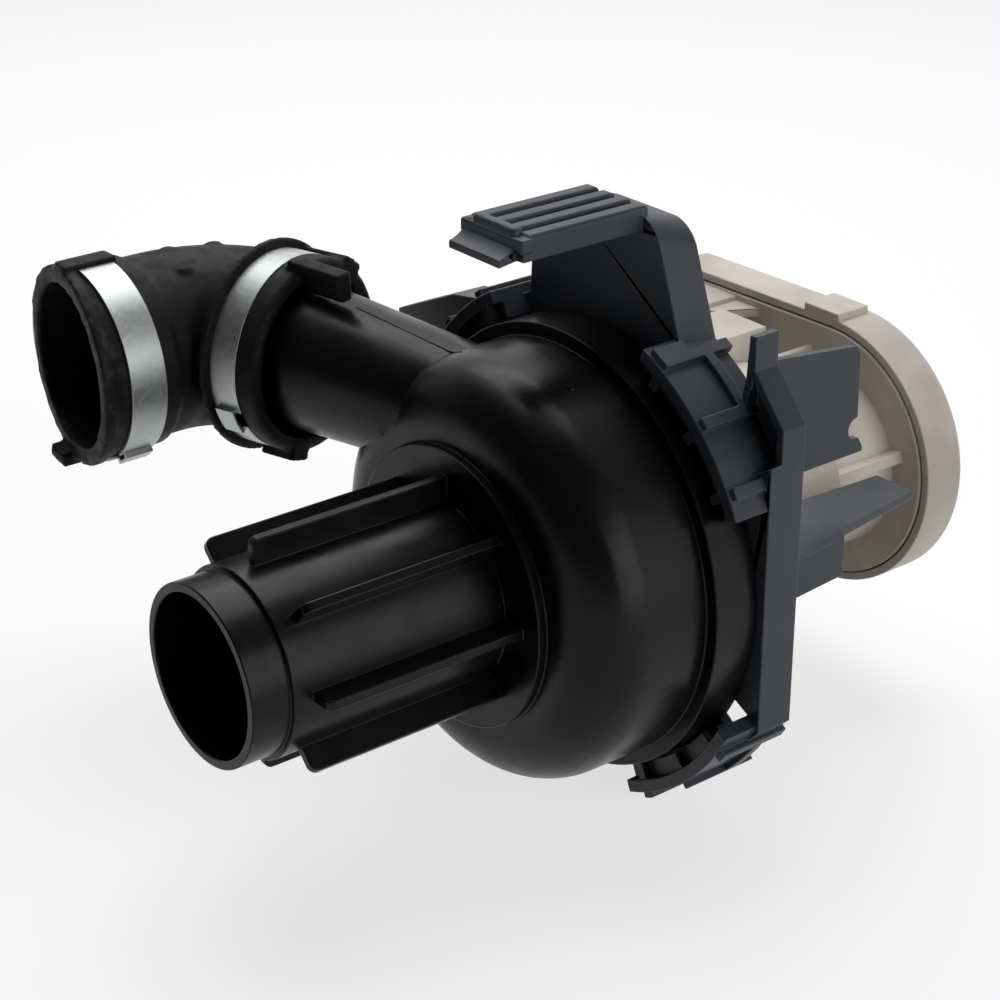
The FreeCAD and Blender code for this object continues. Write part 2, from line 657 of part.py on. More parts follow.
def on_neck(shape):
    """Move a shape from the pump's axis to the outlet's axis, and turn it as the neck cuff is turned"""
    moved = on_outlet(shape)
    moved.rotate(outlet_point(neck_band_start), UP, float(d.neck_turn))
    return moved


def neck_cuff():
    """The cuff on the stub: rounded bead, band seat and ring"""
    bead_round = 1.2
    bead = Part.makeCone(float(neck_bead_radius) - bead_round, float(neck_bead_radius), bead_round,
                         V(0, float(elbow_start), 0), AXIS)
    cuff = [
        bead,
        rod(neck_bead_radius, elbow_start + bead_round, neck_band_start - d.seat_gap),
        rod(d.cuff_radius, elbow_start + bead_round, neck_ring_end),
        rod(d.cuff_ring_radius, neck_band_end + d.seat_gap, neck_ring_end),
    ]
    return [on_neck(piece) for piece in cuff]


def neck_pads():
    """What stands on the neck cuff: the bridge and the tab over the band, and the long upper lug"""
    root = d.cuff_radius - 1
    under = neck_band_outside + d.seat_gap
    pad_end = neck_band_start - d.seat_gap
    pads = []
    bridge = (43, 15, under + 1.4, neck_ring_end)
    tab = (243, 16, under + 2.2, neck_band_start + 4)
    for angle, sweep, outer, rear in (bridge, tab):
        pads.append(on_neck(sector(under, outer, elbow_start, rear, angle, sweep)))
        pads.append(on_neck(sector(root, under + 0.3, elbow_start, pad_end, angle, sweep)))
    lug_reach, lug_angle, lug_sweep = 15.7, 93, 10
    pads.append(on_outlet(sector(d.outlet_end_radius + 0.7, d.cuff_ring_radius - 0.3, elbow_start - lug_reach,
                                 elbow_start + d.bead_length / 2, lug_angle, lug_sweep)))
    return pads


def mouth_cuff():
    """The cuff at the mouth: tilted face with its bead, band seat, low bridge and lower lug"""
    cuff_rear = mouth_band_end + 5
    bead = rod(mouth_bead_radius, d.mouth_front - 5, mouth_band_start - d.seat_gap)
    bridge_angle, bridge_sweep = 84, 14
    bridge_inner = mouth_band_outside + d.seat_gap
    bridge_outer = bridge_inner + 1.2
    return [
        rod(d.mouth_radius, d.mouth_front, cuff_rear),
        bead.common(mouth_slice(0, d.mouth_bead)),
        sector(bridge_inner, bridge_outer, mouth_middle - 1.2, mouth_band_end + 0.5, bridge_angle, bridge_sweep),
        sector(d.mouth_radius - 0.6, bridge_outer, mouth_middle - 1.2, mouth_band_start - d.seat_gap,
               bridge_angle, bridge_sweep),
        sector(d.mouth_radius - 0.6, bridge_outer, mouth_band_end + d.seat_gap, mouth_band_end + 1.2,
               bridge_angle, bridge_sweep),
    ]


def mouth_lug():
    """The lug at the lower side of the mouth, which stands out in front of its face"""
    lug_angle, lug_sweep = 251, 16
    return sector(d.mouth_radius - 0.6, mouth_band_outside + 2.2, mouth_middle - 3.0,
                  mouth_band_start - d.seat_gap, lug_angle, lug_sweep)


def nub(angle, offset):
    """A small nub on top of the bend, at an angle along it and an offset from its centre line"""
    arm = outlet_point(bend_start) - bend_centre
    turn = FreeCAD.Rotation(UP, angle)
    arm = turn.multVec(arm * ((float(d.elbow_bend) + offset) / arm.Length))
    rise = math.sqrt(float(d.elbow_radius) ** 2 - offset ** 2)
    return Part.makeCylinder(nub_radius, 4 * nub_radius, bend_centre + arm + UP * (rise + nub_height), -UP)


def make_outlet_elbow():
    """The rubber elbow: two cuffs, the bend between them and the small nubs on top"""
    pieces = neck_cuff() + [
        outlet_rod(d.elbow_radius, neck_band_start, bend_start),
        elbow_bend_piece(d.elbow_radius),
        on_mouth(rod(d.elbow_radius, d.mouth_front, bend_end)),
    ]
    pieces += [on_mouth(piece) for piece in mouth_cuff()]
    for angle, offset in nub_places:
        pieces.append(nub(angle, offset))
    outside = clean_fuse(pieces)
    band_room = tube(d.cuff_radius, 2 * d.cuff_radius, neck_band_start - d.seat_gap, neck_band_end + d.seat_gap)
    outside = outside.cut([on_neck(band_room), on_mouth(mouth_slice(-d.mouth_front, 0))])
    outside = clean_fuse([outside, on_mouth(mouth_lug())] + neck_pads())
    stub_reach = d.cuff_radius * math.sin(math.radians(d.neck_turn))
    cuts = [
        outlet_rod(d.stub_radius + d.running_gap, elbow_start - stub_reach, stub_end + d.lock_gap),
        outlet_rod(d.elbow_bore, elbow_start, bend_start),
        elbow_bend_piece(d.elbow_bore),
        on_mouth(rod(d.elbow_bore, d.mouth_front - 10, bend_end)),
        on_mouth(rod(d.mouth_bore, d.mouth_front - 10, d.mouth_front + d.mouth_depth)),
    ]
    return moulded("outlet_elbow", outside.cut(cuts))


def band(inner, start, end, ear_angle, ear_sweep):
    """A steel band with its crimped ear"""
    outer = inner + d.band_wall
    ear_inset = 1.2
    slot_angle = 3
    strip = tube(inner + d.running_gap, outer, start, end)
    ear = sector(outer - 0.1, outer + 1.5, start + ear_inset, end - ear_inset, ear_angle, ear_sweep)
    hollow = sector(inner, outer + 0.8, start, end, ear_angle + slot_angle, ear_sweep - 2 * slot_angle)
    return strip.fuse(ear).cut(hollow).removeSplitter()


def make_clamps():
    """The two steel bands: one on the outlet's stub, one for the pipe that enters the mouth"""
    neck = band(d.cuff_radius, neck_band_start, neck_band_end, 198, 17)
    mouth = band(d.mouth_radius, mouth_band_start, mouth_band_end, 300, 12)
    moulded("neck_clamp", on_neck(neck))
    moulded("mouth_clamp", on_mouth(mouth))


# Places on the bracket
clip_inner = flange_radius + d.clip_gap
clip_front = d.flange_front + d.clip_setback
pocket_outer = clip_inner + d.clip_pocket
pocket_floor = clip_front + d.pocket_depth
clip_outer = pocket_outer + d.clip_wall
clip_top = clip_outer + d.clip_rib
groove_front = plate_front - 5.5
groove_rear = groove_front + 2 * d.seal_section + 0.4
groove_radius = drum_bore - 2 * d.seal_section - 0.1
hub_radius = d.carrier_radius + 0.5
boss_depth = 6.0
boss_radius = 4.5
carrier_screw_radius = 1.25
carrier_screw_circle = (d.carrier_radius + d.can_flange_radius) / 2
edge_step = plate_rear + 0.3
recess_floor = edge_rear - d.plate_thickness
recess_angles = (31, 62)
finger_right = d.finger_at + d.wall_thickness
window_angles = (-35, -26)
tongue_rear = d.arm_front + d.tongue_length
ridge_rear = plate_front + 1.7
ear_middle = -(d.ear_reach + wall_across) / 2
ear_height = d.side_top - 19


def flat_face(points, along=plate_front):
    """A flat face across the axis, given by (x, z) corners"""
    corners = [V(float(x), float(along), float(z)) for x, z in points]
    return Part.Face(Part.makePolygon(corners + corners[:1]))


def bracket_face():
    """The plate's outline: side walls, finger and fixing ear, joined to a disc"""
    across, low, high = wall_across, -d.side_bottom, d.side_top
    under_clip = clip_outer - d.clip_wall / 2
    foot_angle = math.degrees(math.atan2(d.shoulder_top, d.tower_foot))
    clip_foot = polar(under_clip, foot_angle)
    finger_left = d.finger_at - d.finger_spread
    finger_root = math.sqrt(float(under_clip) ** 2 - float(finger_left) ** 2)
    body = flat_face([
        (across - d.side_chamfer, low), (across, low + d.side_chamfer), (across, high),
        (finger_right, d.shoulder_top), (finger_right, d.finger_top), (d.finger_at, d.finger_top),
        (finger_left, finger_root), (clip_foot.x, clip_foot.z),
        (d.tower_foot, d.shoulder_top + 0.7), (-d.tower_foot, high + 5),
        (-across, high - 1), (-d.ear_reach, high - 12), (-d.ear_reach, high - 26), (-across, high - 36),
        (-across, low + d.side_chamfer), (-across + d.side_chamfer, low)])
    side = float(wall_across)
    disc = rod(plate_radius, plate_front, plate_rear).common(
        box((-side, plate_front, -2 * side), (side, plate_rear, 2 * side)))
    disc_face = [face for face in disc.Faces if abs(face.CenterOfMass.y - float(plate_front)) < 1e-6][0]
    return body.fuse(disc_face).removeSplitter().Faces[0]


def tower():
    """The tower above the disc: a hollow box with round corners that leans towards its rear edge"""
    outline = flat_face([
        (d.tower_foot, d.shoulder_top + 0.7), (d.tower_right, d.tower_top), (-d.tower_left, d.tower_top),
        (-d.tower_foot + 1, d.shoulder_top + 8), (-d.tower_foot, d.side_top), (d.tower_foot, d.side_top)])
    outline = outline.makeOffset2D(-float(d.tower_corner)).makeOffset2D(float(d.tower_corner))
    sweep = V(float(d.tower_lean), float(d.wall_depth), -float(d.tower_drop))
    hollow = outline.makeOffset2D(-float(d.wall_thickness)).extrude(sweep)
    hollow.translate(sweep * float(d.plate_thickness / d.wall_depth))
    return outline.extrude(sweep).cut(hollow)


def bracket_plate():
    """The plate with its hollow rear and its edge wall, and the recess round the first clip"""
    outline = bracket_face()
    outside = outline.extrude(V(0, float(d.wall_depth), 0))
    hollow = outline.makeOffset2D(-float(d.wall_thickness)).extrude(V(0, float(d.wall_depth), 0))
    room = hollow.copy()
    hollow.translate(V(0, float(d.plate_thickness), 0))
    plate = outside.cut(hollow)
    reach = 2 * float(wall_across)
    start, end = recess_angles
    corner = sector(clip_outer, reach, plate_front - 1, edge_step, start, end - start)
    recess = sector(clip_outer, reach, plate_front - 1, recess_floor, start, end - start).common(room)
    under_finger = box((d.finger_at - d.finger_spread - 1, plate_front - 1, d.side_top - 4),
                       (finger_right, recess_floor, d.finger_foot)).cut(rod(clip_outer, 0, edge_rear))
    floor = sector(clip_outer, reach, recess_floor, edge_rear, start, end - start).common(outside)
    lower_end = sector(clip_outer, reach, plate_front, edge_rear, start, d.wall_thickness).common(outside)
    return clean_fuse([plate.cut([corner, recess, under_finger]), floor, lower_end, tower()])


def clip(last_rib_angle):
    """One clip at angle 0: outer wall, pockets between ribs, and the ladder of ribs outside"""
    half = d.clip_half_span
    start, sweep = -half, 2 * half
    half_rib = d.rib_angle / 2
    rail_front = plate_rear - 0.5
    ladder_root = clip_outer - 0.5
    pieces = [
        sector(pocket_outer, clip_outer, clip_front, edge_rear, start, sweep),
        sector(clip_inner, clip_outer, pocket_floor, plate_rear, start, sweep),
        sector(ladder_root, clip_top, rail_front, rail_front + d.rail_width, CLIP_RIBS[1], CLIP_RIBS[2]),
        sector(ladder_root, clip_top, clip_front + 0.7, plate_front, CLIP_RIBS[2] - half_rib, last_rib_angle),
    ]
    for angle in CLIP_RIBS:
        pieces.append(sector(clip_inner, clip_top, clip_front + 0.7, plate_rear, angle - half_rib, d.rib_angle))
        pieces.append(sector(ladder_root, clip_top, clip_front + 0.7, edge_rear + 1,
                             angle - half_rib, d.rib_angle))
    return clean_fuse(pieces)


def clip_cuts(angle):
    """What is cut at a clip: the slot for the locking lug, and a relief slot near each end"""
    lock_start = -d.lock_half_span - 0.8
    lock_slot = sector(flange_radius - 1, flange_radius + d.lock_reach + d.lock_gap,
                       d.lock_front - d.lock_gap, d.lock_front + d.lock_thickness + d.lock_gap,
                       lock_start, d.clip_half_span - lock_start + 0.1)
    cuts = [turned_copy(lock_slot, angle)]
    slot_bottom, slot_top = flange_radius - 2.3, pocket_outer - 0.4
    for side in (-1, 1):
        slot = box((slot_bottom, clip_front - 1, -d.slot_width / 2), (slot_top, edge_rear + 1, d.slot_width / 2))
        cuts.append(turned_copy(slot, angle + side * (float(d.clip_half_span) - 3.0)))
    if angle == CLIP_ANGLES[-1]:
        start, end = window_angles
        cuts.append(sector(slot_bottom, slot_top, clip_front - 1, edge_rear + 1, start, end - start))
    return cuts


def tongue():
    """The tongue in front of the arm: its top sweeps down to the tip in a hollow curve"""
    left, right = -float(d.arm_left - d.tongue_inset_left), float(d.arm_right - d.tongue_inset_right)
    tip, root, high = float(d.arm_front), float(tongue_rear), float(d.tower_top)
    tip_top = high - float(d.tongue_drop)
    middle = V(left, (tip + root) / 2, (tip_top + high) / 2 - float(d.tongue_hollow))
    corners = [V(left, root, high), V(left, root, high - float(d.arm_thickness)),
               V(left, tip, tip_top - float(d.tongue_tip)), V(left, tip, tip_top)]
    edges = [Part.Arc(corners[3], middle, corners[0]).toShape()]
    edges += [Part.LineSegment(first, second).toShape() for first, second in zip(corners, corners[1:])]
    return Part.Face(Part.Wire(edges)).extrude(V(right - left, 0, 0))


def top_arm():
    """The arm that reaches forward from the tower, with its ridges, lip, cross bar and tongue"""
    low, high = d.tower_top - d.arm_thickness, d.tower_top
    left, right = -d.arm_left, d.arm_right
    pieces = [box((left, tongue_rear, low), (right, plate_front + 1, high)), tongue()]
    lip_front, bar_rear = tongue_rear - 1, tongue_rear - 0.5 + d.bar_depth
    lip = box((left - d.lip_margin, lip_front, high - 2 * d.lip_height),
              (right + d.lip_margin, bar_rear, high + d.lip_height))
    pieces.append(rounded(lip, d.lip_height * 0.7, lambda edge: True))
    bar = box((left + d.bar_inset, tongue_rear - 0.5, high - 1),
              (right - d.bar_inset, bar_rear, high + d.bar_height))
    pieces.append(rounded(bar, d.ridge_round, lambda edge: edge.CenterOfMass.z > float(high)))
    pitch = (right - left - d.ridge_width) / (RIDGE_COUNT - 1)
    for place in range(RIDGE_COUNT):
        x = left + place * pitch
        ridge_top = high + d.ridge_height
        ridge = box((x, bar_rear - 1, high - 1), (x + d.ridge_width, ridge_rear, ridge_top))
        pieces.append(rounded(ridge, d.ridge_round, lambda edge: edge.CenterOfMass.z > float(ridge_top) - 0.01))
    return clean_fuse(pieces)


def fin(points, x, thickness=d.wall_thickness):
    """An upright flat piece with straight sides, given by (y, z) corners, from a place along X"""
    corners = [V(float(x), float(y), float(z)) for y, z in points]
    face = Part.Face(Part.makePolygon(corners + corners[:1]))
    return face.extrude(V(float(thickness), 0, 0))


def upright_fin(top):
    """The fin with a bite in its rear edge, between a shelf fin and the tower"""
    front, rear = plate_rear - 0.5, plate_rear + d.fin_length
    foot, rear_drop, tip_reach = 26.4, 3.9, 2.2
    front_drop, front_setback = 14.0, 4.5
    across = wall_across - 15.2
    leaf = fin([
        (front, top - front_drop), (front + front_setback, top), (rear - 2, top - rear_drop),
        (rear - 0.5, top - rear_drop - 1.6),
        (rear, foot + 5), (rear + tip_reach, foot + 1.2), (rear + tip_reach, foot), (front, foot)], across)
    bite = Part.makeCylinder(float(d.notch_radius), 2 * float(d.wall_thickness),
                             V(float(across) - 1, float(rear) - 0.1, foot + 6.6), V(1, 0, 0))
    return leaf.cut(bite)


def bracket_fins():
    """The upright fins, the shelf fins and the foot fins behind the plate"""
    front = plate_rear - 0.5
    shelf_rear = plate_rear + d.shelf_length
    outer = wall_across - 0.9
    skirt_outer = outer - d.skirt_inset
    shelf_low, shelf_high = d.shelf_height - d.wall_thickness, d.shelf_height
    skirt_rear = plate_rear + d.skirt_length
    leaf = shelf([(34.5, front), (outer, front), (outer - 8.5, shelf_rear), (38, shelf_rear)],
                 shelf_low, shelf_high)
    skirt = fin([(front, -2), (skirt_rear - 12, -0.8), (skirt_rear, 0.1),
                 (skirt_rear, shelf_high), (front, shelf_high)], skirt_outer)
    foot_across, foot_low, foot_high = 18, plate_radius - 4.5, barrel_radius + 3.5
    foot = box((foot_across, front, -foot_low),
               (foot_across + d.wall_thickness, plate_rear + d.foot_length, -foot_high))
    right = [leaf, skirt, foot]
    left = [mirrored(piece) for piece in right + [upright_fin(d.side_top + 2)]]
    return right + [upright_fin(d.shoulder_top)] + left


def make_motor_bracket():
    """The grey bracket: plate, register, hub, clips, tower with arm, fins and ear"""
    pieces = [bracket_plate()]
    pieces.append(tube(register_radius - d.register_wall, register_radius, register_front, plate_rear))
    pieces.append(rod(hub_radius, carrier_rear, plate_rear))
    for angle in LUG_ANGLES:
        place = polar(d.lug_circle, angle)
        pieces.append(rod(boss_radius, plate_front - boss_depth, plate_rear, place.x, place.z))
    for angle in CLIP_ANGLES:
        last_rib = 2 * d.rib_angle if angle == CLIP_ANGLES[0] else d.rib_angle
        pieces.append(turned_copy(clip(last_rib), angle))
    pieces.append(top_arm())
    pieces += bracket_fins()
    shape = clean_fuse(pieces)
    seal_room = d.can_seal_section + d.seat_gap
    cuts = [
        rod(d.can_flange_radius + d.seat_gap, carrier_rear - 1, hub_front),
        rod(d.can_radius + d.seat_gap, carrier_rear - 1, plate_rear + 1),
        tube(d.can_seal_radius - seal_room, d.can_seal_radius + seal_room,
             hub_front - 0.5, hub_front + 2 * d.can_seal_section + 0.05),
        tube(groove_radius, register_radius + 2, groove_front, groove_rear),
        outlet_cone(d.outlet_start_radius + 0.8, d.outlet_end_radius + 0.8, d.outlet_start, stub_start),
        rod(d.ear_hole_radius, plate_front - 1, edge_rear + 1, ear_middle, ear_height),
    ]
    for angle in CLIP_ANGLES:
        cuts += clip_cuts(angle)
    for angle in LUG_ANGLES:
        place = polar(d.lug_circle, angle)
        cuts.append(rod(d.motor_screw_radius + d.running_gap, plate_front - boss_depth + 1.5, plate_rear + 1,
                        place.x, place.z))
    for angle in CARRIER_SCREW_ANGLES:
        place = polar(carrier_screw_circle, angle)
        cuts.append(rod(carrier_screw_radius + d.running_gap, carrier_rear - 1, plate_rear - 1,
                        place.x, place.z))
    return moulded("motor_bracket", shape.cut(cuts))


def screw(head_radius, head, radius, seat, tip, x, z, driven_from_rear):
    """A pan-head screw along Y with a cross recess in its head"""
    way = 1 if driven_from_rear else -1
    head_end = float(seat) + way * float(head)
    low, high = sorted((float(seat), head_end))
    body = rod(head_radius, low, high, x, z).fuse(rod(radius, min(float(tip), low), max(float(tip), high), x, z))
    low, high = sorted((head_end, head_end - way * 1.0))
    for size in ((0.4, float(head_radius) * 0.6), (float(head_radius) * 0.6, 0.4)):
        body = body.cut(box((x - size[0], low, z - size[1]), (x + size[0], high, z + size[1])))
    return body


def screw_group(node, places, **sizes):
    """Equal screws in one node, at the given places"""
    solids = [screw(x=place.x, z=place.z, **sizes) for place in places]
    return moulded(node, Part.makeCompound(solids))


def drill(body, name, radius, circle, angle, front, rear, count):
    """Equal holes along the axis, round a circle"""
    hole = body.newObject("PartDesign::SubtractiveCylinder", name)
    plane = [item for item in body.Origin.OriginFeatures if item.Role == "XY_Plane"][0]
    hole.AttachmentSupport = [(plane, "")]
    hole.MapMode = "FlatFace"
    place = polar(circle, angle, front)
    hole.AttachmentOffset = FreeCAD.Placement(place, ALONG_AXIS)
    bind(hole, "Radius", radius)
    bind(hole, "Height", rear - front)
    bind(hole, "AttachmentOffset.Base.x", circle * math.cos(math.radians(angle)))
    bind(hole, "AttachmentOffset.Base.y", front)
    bind(hole, "AttachmentOffset.Base.z", circle * math.sin(math.radians(angle)))
    doc.recompute()
    pattern = body.newObject("PartDesign::PolarPattern", name + "_pattern")
    pattern.Originals = [hole]
    pattern.Axis = ([item for item in body.Origin.OriginFeatures if item.Role == "Y_Axis"][0], [""])
    pattern.Angle = 360
    pattern.Occurrences = count
    body.Tip = pattern


def make_bearing_carrier():
    """The disc that holds the front bushing and clamps the can's flange"""
    tube_bore = d.bush_radius + d.running_gap
    stop = front_bush_front + d.bush_length + 0.1
    body = turned("bearing_carrier", [
        (tube_bore, front_bush_front), (d.carrier_tube, front_bush_front),
        (d.carrier_tube, d.carrier_front), (d.carrier_radius, d.carrier_front),
        (d.carrier_radius, carrier_rear), (d.carrier_tube, carrier_rear), (d.carrier_tube, stop + 2),
        (d.bush_radius - 1, stop + 2), (d.bush_radius - 1, stop), (tube_bore, stop)])
    drill(body, "carrier_hole", carrier_screw_radius + 2 * d.seat_gap, carrier_screw_circle, CARRIER_SCREW_ANGLES[0],
          d.carrier_front - 1, carrier_rear + 1, len(CARRIER_SCREW_ANGLES))
    places = [polar(carrier_screw_circle, angle) for angle in CARRIER_SCREW_ANGLES]
    screw_group("carrier_screws", places, head_radius=2.6, head=1.6, radius=carrier_screw_radius,
                seat=d.carrier_front, tip=plate_rear - 1.5, driven_from_rear=False)


def make_rotor_can():
    """The thin cup between the wet rotor and the dry stator, and its sealing ring"""
    inner, cup_inner = d.can_radius - d.can_wall, d.can_cup_radius - d.can_wall
    turned("rotor_can", [
        (inner, carrier_rear), (d.can_flange_radius, carrier_rear), (d.can_flange_radius, hub_front),
        (d.can_radius, hub_front), (d.can_radius, d.can_end), (d.can_cup_radius, d.can_end),
        (d.can_cup_radius, d.can_cup_end), (0, d.can_cup_end), (0, d.can_cup_end - d.can_wall),
        (cup_inner, d.can_cup_end - d.can_wall), (cup_inner, d.can_end - d.can_wall),
        (inner, d.can_end - d.can_wall)])
    seal_ring("can_seal", d.can_seal_radius, d.can_seal_section, hub_front + d.can_seal_section + 0.02)


def make_bearings():
    """The two bushings, and the rubber cushion that holds the rear one"""
    outer = d.bush_radius
    ring("front_bushing", bush_bore, outer, front_bush_front, front_bush_front + d.bush_length)
    ring("rear_bushing", bush_bore, outer, rear_bush_front, rear_bush_front + d.bush_length)
    cushion_outer = d.can_cup_radius - d.can_wall - d.running_gap
    cushion_inner = outer + d.running_gap
    front, rear = rear_bush_front + 1, d.can_cup_end - d.can_wall - 0.1
    stop = rear_bush_front + d.bush_length + 0.1
    turned("rear_cushion", [
        (cushion_inner, front), (cushion_outer, front), (cushion_outer, rear),
        (outer - 1, rear), (outer - 1, stop), (cushion_inner, stop)])


def vane():
    """One backward-curved vane, from the hub to the impeller's rim"""
    front, rear = d.impeller_front + d.impeller_disc - 0.2, impeller_rear - d.impeller_disc + 0.2
    stations = ((float(d.impeller_hub_radius) - 1, 0), (float(d.impeller_radius) * 0.6, 26),
                (float(d.impeller_radius) - 0.3, 66))
    first, second = [], []
    for radius, angle in stations:
        half = math.degrees(float(d.vane_thickness) / 2 / radius)
        first.append(polar(radius, angle - half, front))
        second.append(polar(radius, angle + half, front))
    edges = [Part.Arc(*first).toShape(), Part.LineSegment(first[2], second[2]).toShape(),
             Part.Arc(*reversed(second)).toShape(), Part.LineSegment(second[0], first[0]).toShape()]
    return Part.Face(Part.Wire(edges)).extrude(V(0, float(rear) - float(front), 0))


def make_impeller():
    """Impeller with hub, rear disc and vanes, its front shroud, and the nut that holds it"""
    rear_disc = rod(d.impeller_radius, impeller_rear - d.impeller_disc, impeller_rear)
    hub = rod(d.impeller_hub_radius, d.impeller_front - 3, impeller_rear)
    vanes = [turned_copy(vane(), place * 360 / VANE_COUNT) for place in range(VANE_COUNT)]
    shroud_room = tube(d.eye_radius - d.eye_wall, d.impeller_radius + 1, d.impeller_front - 1,
                       d.impeller_front + d.impeller_disc)
    bore = rod(d.shaft_radius + d.running_gap, d.shaft_front, impeller_rear + 1)
    moulded("impeller", clean_fuse([rear_disc, hub] + vanes).cut([bore, shroud_room]))
    skirt = d.eye_radius - d.eye_wall
    disc_rear = d.impeller_front + d.impeller_disc
    turned("impeller_shroud", [
        (skirt, d.ring_seat_at + 0.5), (d.eye_radius, d.ring_seat_at + 0.5),
        (d.eye_radius, d.impeller_front), (d.impeller_radius, d.impeller_front),
        (d.impeller_radius, disc_rear), (skirt, disc_rear)])
    nut_rear = d.impeller_front - 3
    corners = [polar(d.nut_flats, 60 * place) for place in range(6)]
    nut = slab([(corner.x, corner.z) for corner in corners], d.shaft_front - 1.2, nut_rear)
    nut = nut.cut(rod(d.shaft_radius + d.running_gap, d.shaft_front, nut_rear + 1))
    moulded("impeller_nut", nut)


def make_rotor():
    """Shaft, core, magnet, end discs and the two thrust washers"""
    chamfer = 0.6
    turned("shaft", [
        (0, d.shaft_front), (d.shaft_radius - chamfer, d.shaft_front),
        (d.shaft_radius, d.shaft_front + chamfer), (d.shaft_radius, d.shaft_rear - chamfer),
        (d.shaft_radius - chamfer, d.shaft_rear), (0, d.shaft_rear)])
    on_shaft = d.shaft_radius + 0.02
    ring("front_thrust_washer", on_shaft, d.washer_radius, impeller_rear, front_bush_front - d.washer_gap)
    ring("rotor_core", on_shaft, d.core_radius, d.core_front, core_rear)
    ring("rotor_magnet", d.core_radius + 0.02, d.rotor_radius, d.core_front, core_rear)
    ring("front_end_disc", on_shaft, d.rotor_radius, d.core_front - d.end_disc, d.core_front)
    ring("rear_end_disc", on_shaft, d.rotor_radius, core_rear, rotor_rear)
    ring("rear_thrust_washer", on_shaft, d.washer_radius, rotor_rear, rear_washer_rear)


def around_tooth(inner, wall, start, end):
    """A rounded sleeve round a stator tooth that points along +X"""
    outer = inner + wall
    front, rear = d.core_front - inner + d.tooth_width / 2, core_rear + inner - d.tooth_width / 2
    sleeve = box((start, front - wall, -outer), (end, rear + wall, outer))
    corners = [edge for edge in sleeve.Edges if abs(edge.tangentAt(edge.FirstParameter).x) > 0.9]
    sleeve = sleeve.makeFillet(float(wall) * 0.9, corners)
    return sleeve.cut(box((start - 1, front, -inner), (end + 1, rear, inner)))


def make_stator():
    """Laminated core, one bobbin and one winding for each tooth"""
    yoke_bore = d.stator_radius - d.yoke_wall
    yoke = tube(yoke_bore, d.stator_radius, d.core_front, core_rear)
    half = d.tooth_width / 2
    tooth = box((d.stator_bore + d.shoe_depth / 2, d.core_front, -half), (yoke_bore + 1, core_rear, half))
    shoe = sector(d.stator_bore, d.stator_bore + d.shoe_depth, d.core_front, core_rear,
                  -d.shoe_half_span, 2 * d.shoe_half_span)
    coil_inner = half + 0.1 + d.bobbin_wall
    start = d.stator_bore + d.shoe_depth + 0.1
    end = math.sqrt(float(yoke_bore - 0.2) ** 2 - float(coil_inner + d.coil_wall) ** 2)
    bobbin = around_tooth(half + 0.05, d.bobbin_wall, start, end)
    coil = around_tooth(coil_inner, d.coil_wall, start, end)
    iron, bobbins, coils = [yoke], [], []
    for place in range(TOOTH_COUNT):
        angle = place * 360 / TOOTH_COUNT
        iron += [turned_copy(tooth, angle), turned_copy(shoe, angle)]
        bobbins.append(turned_copy(bobbin, angle))
        coils.append(turned_copy(coil, angle))
    moulded("stator_core", clean_fuse(iron))
    moulded("stator_bobbins", Part.makeCompound(bobbins))
    moulded("stator_coils", Part.makeCompound(coils))


def cap_face(inset, along):
    """The end cap's outline: a circle with a lobe to -X whose top is nearly level"""
    radius, reach, drop = float(d.cap_radius), float(d.cap_reach), float(d.cap_drop)
    lower = V(-reach, 0, -drop)
    touch = math.atan2(lower.z, lower.x) + math.acos(radius / lower.Length) + 2 * math.pi
    tangent = V(radius * math.cos(touch), 0, radius * math.sin(touch))
    arc = Part.Arc(tangent, V(radius, 0, 0), V(0, 0, radius)).toShape()
    corners = [V(0, 0, radius), V(-reach, 0, radius - float(d.cap_slope)), lower, tangent]
    edges = [arc] + [Part.LineSegment(a, b).toShape() for a, b in zip(corners, corners[1:])]
    face = Part.Face(Part.Wire(Part.__sortEdges__(edges)))
    face = face.makeOffset2D(-float(d.cap_corner)).makeOffset2D(float(d.cap_corner) - float(inset))
    face.translate(V(0, float(along), float(d.cap_lift)))
    return face


def cap_slab(inset, front, rear):
    """A flat piece with the end cap's outline"""
    return cap_face(inset, front).extrude(V(0, float(rear) - float(front), 0))


# Places on the motor housing and the end cap
mount_face = d.cap_front - 0.6
mount_rear = mount_face + 3.0
housing_inset = d.cap_wall + 0.4
cap_floor = cap_rear - d.cap_wall
cap_screw_inset = 7.0
cap_top = d.cap_lift + d.cap_radius
round_corner = float(d.cap_radius - cap_screw_inset) * math.sqrt(0.5)
lobe_screw_across = -float(d.cap_reach - cap_screw_inset)
cap_screw_places = [
    V(lobe_screw_across, 0, float(cap_top - d.cap_slope - cap_screw_inset)),
    V(lobe_screw_across, 0, 0),
    V(round_corner, 0, float(d.cap_lift) + round_corner),
    V(round_corner, 0, float(d.cap_lift) - round_corner)]
socket_mouth = -(d.cap_reach - housing_inset)
socket_end = socket_mouth + d.socket_depth
socket_back = socket_end + d.cap_wall + 3.0
socket_low = 14 - d.socket_height / 2
socket_front = mount_face - d.socket_width


def terminal_pin(place, gap):
    """One right-angled terminal: a blade in the socket, and a leg through the circuit board"""
    half = d.pin_size / 2 + gap
    pitch = float(d.socket_height) / PIN_COUNT
    z = float(socket_low) + pitch * (place + 0.5)
    y = float(socket_front) + float(d.socket_width) / 2
    bend = socket_back - 1.5
    blade = box((socket_mouth + 5, y - half, z - half), (bend + half, y + half, z + half))
    leg = box((bend - half, y - half, z - half), (bend + half, d.board_at + d.board_thickness + 1.2, z + half))
    return blade.fuse(leg).removeSplitter()


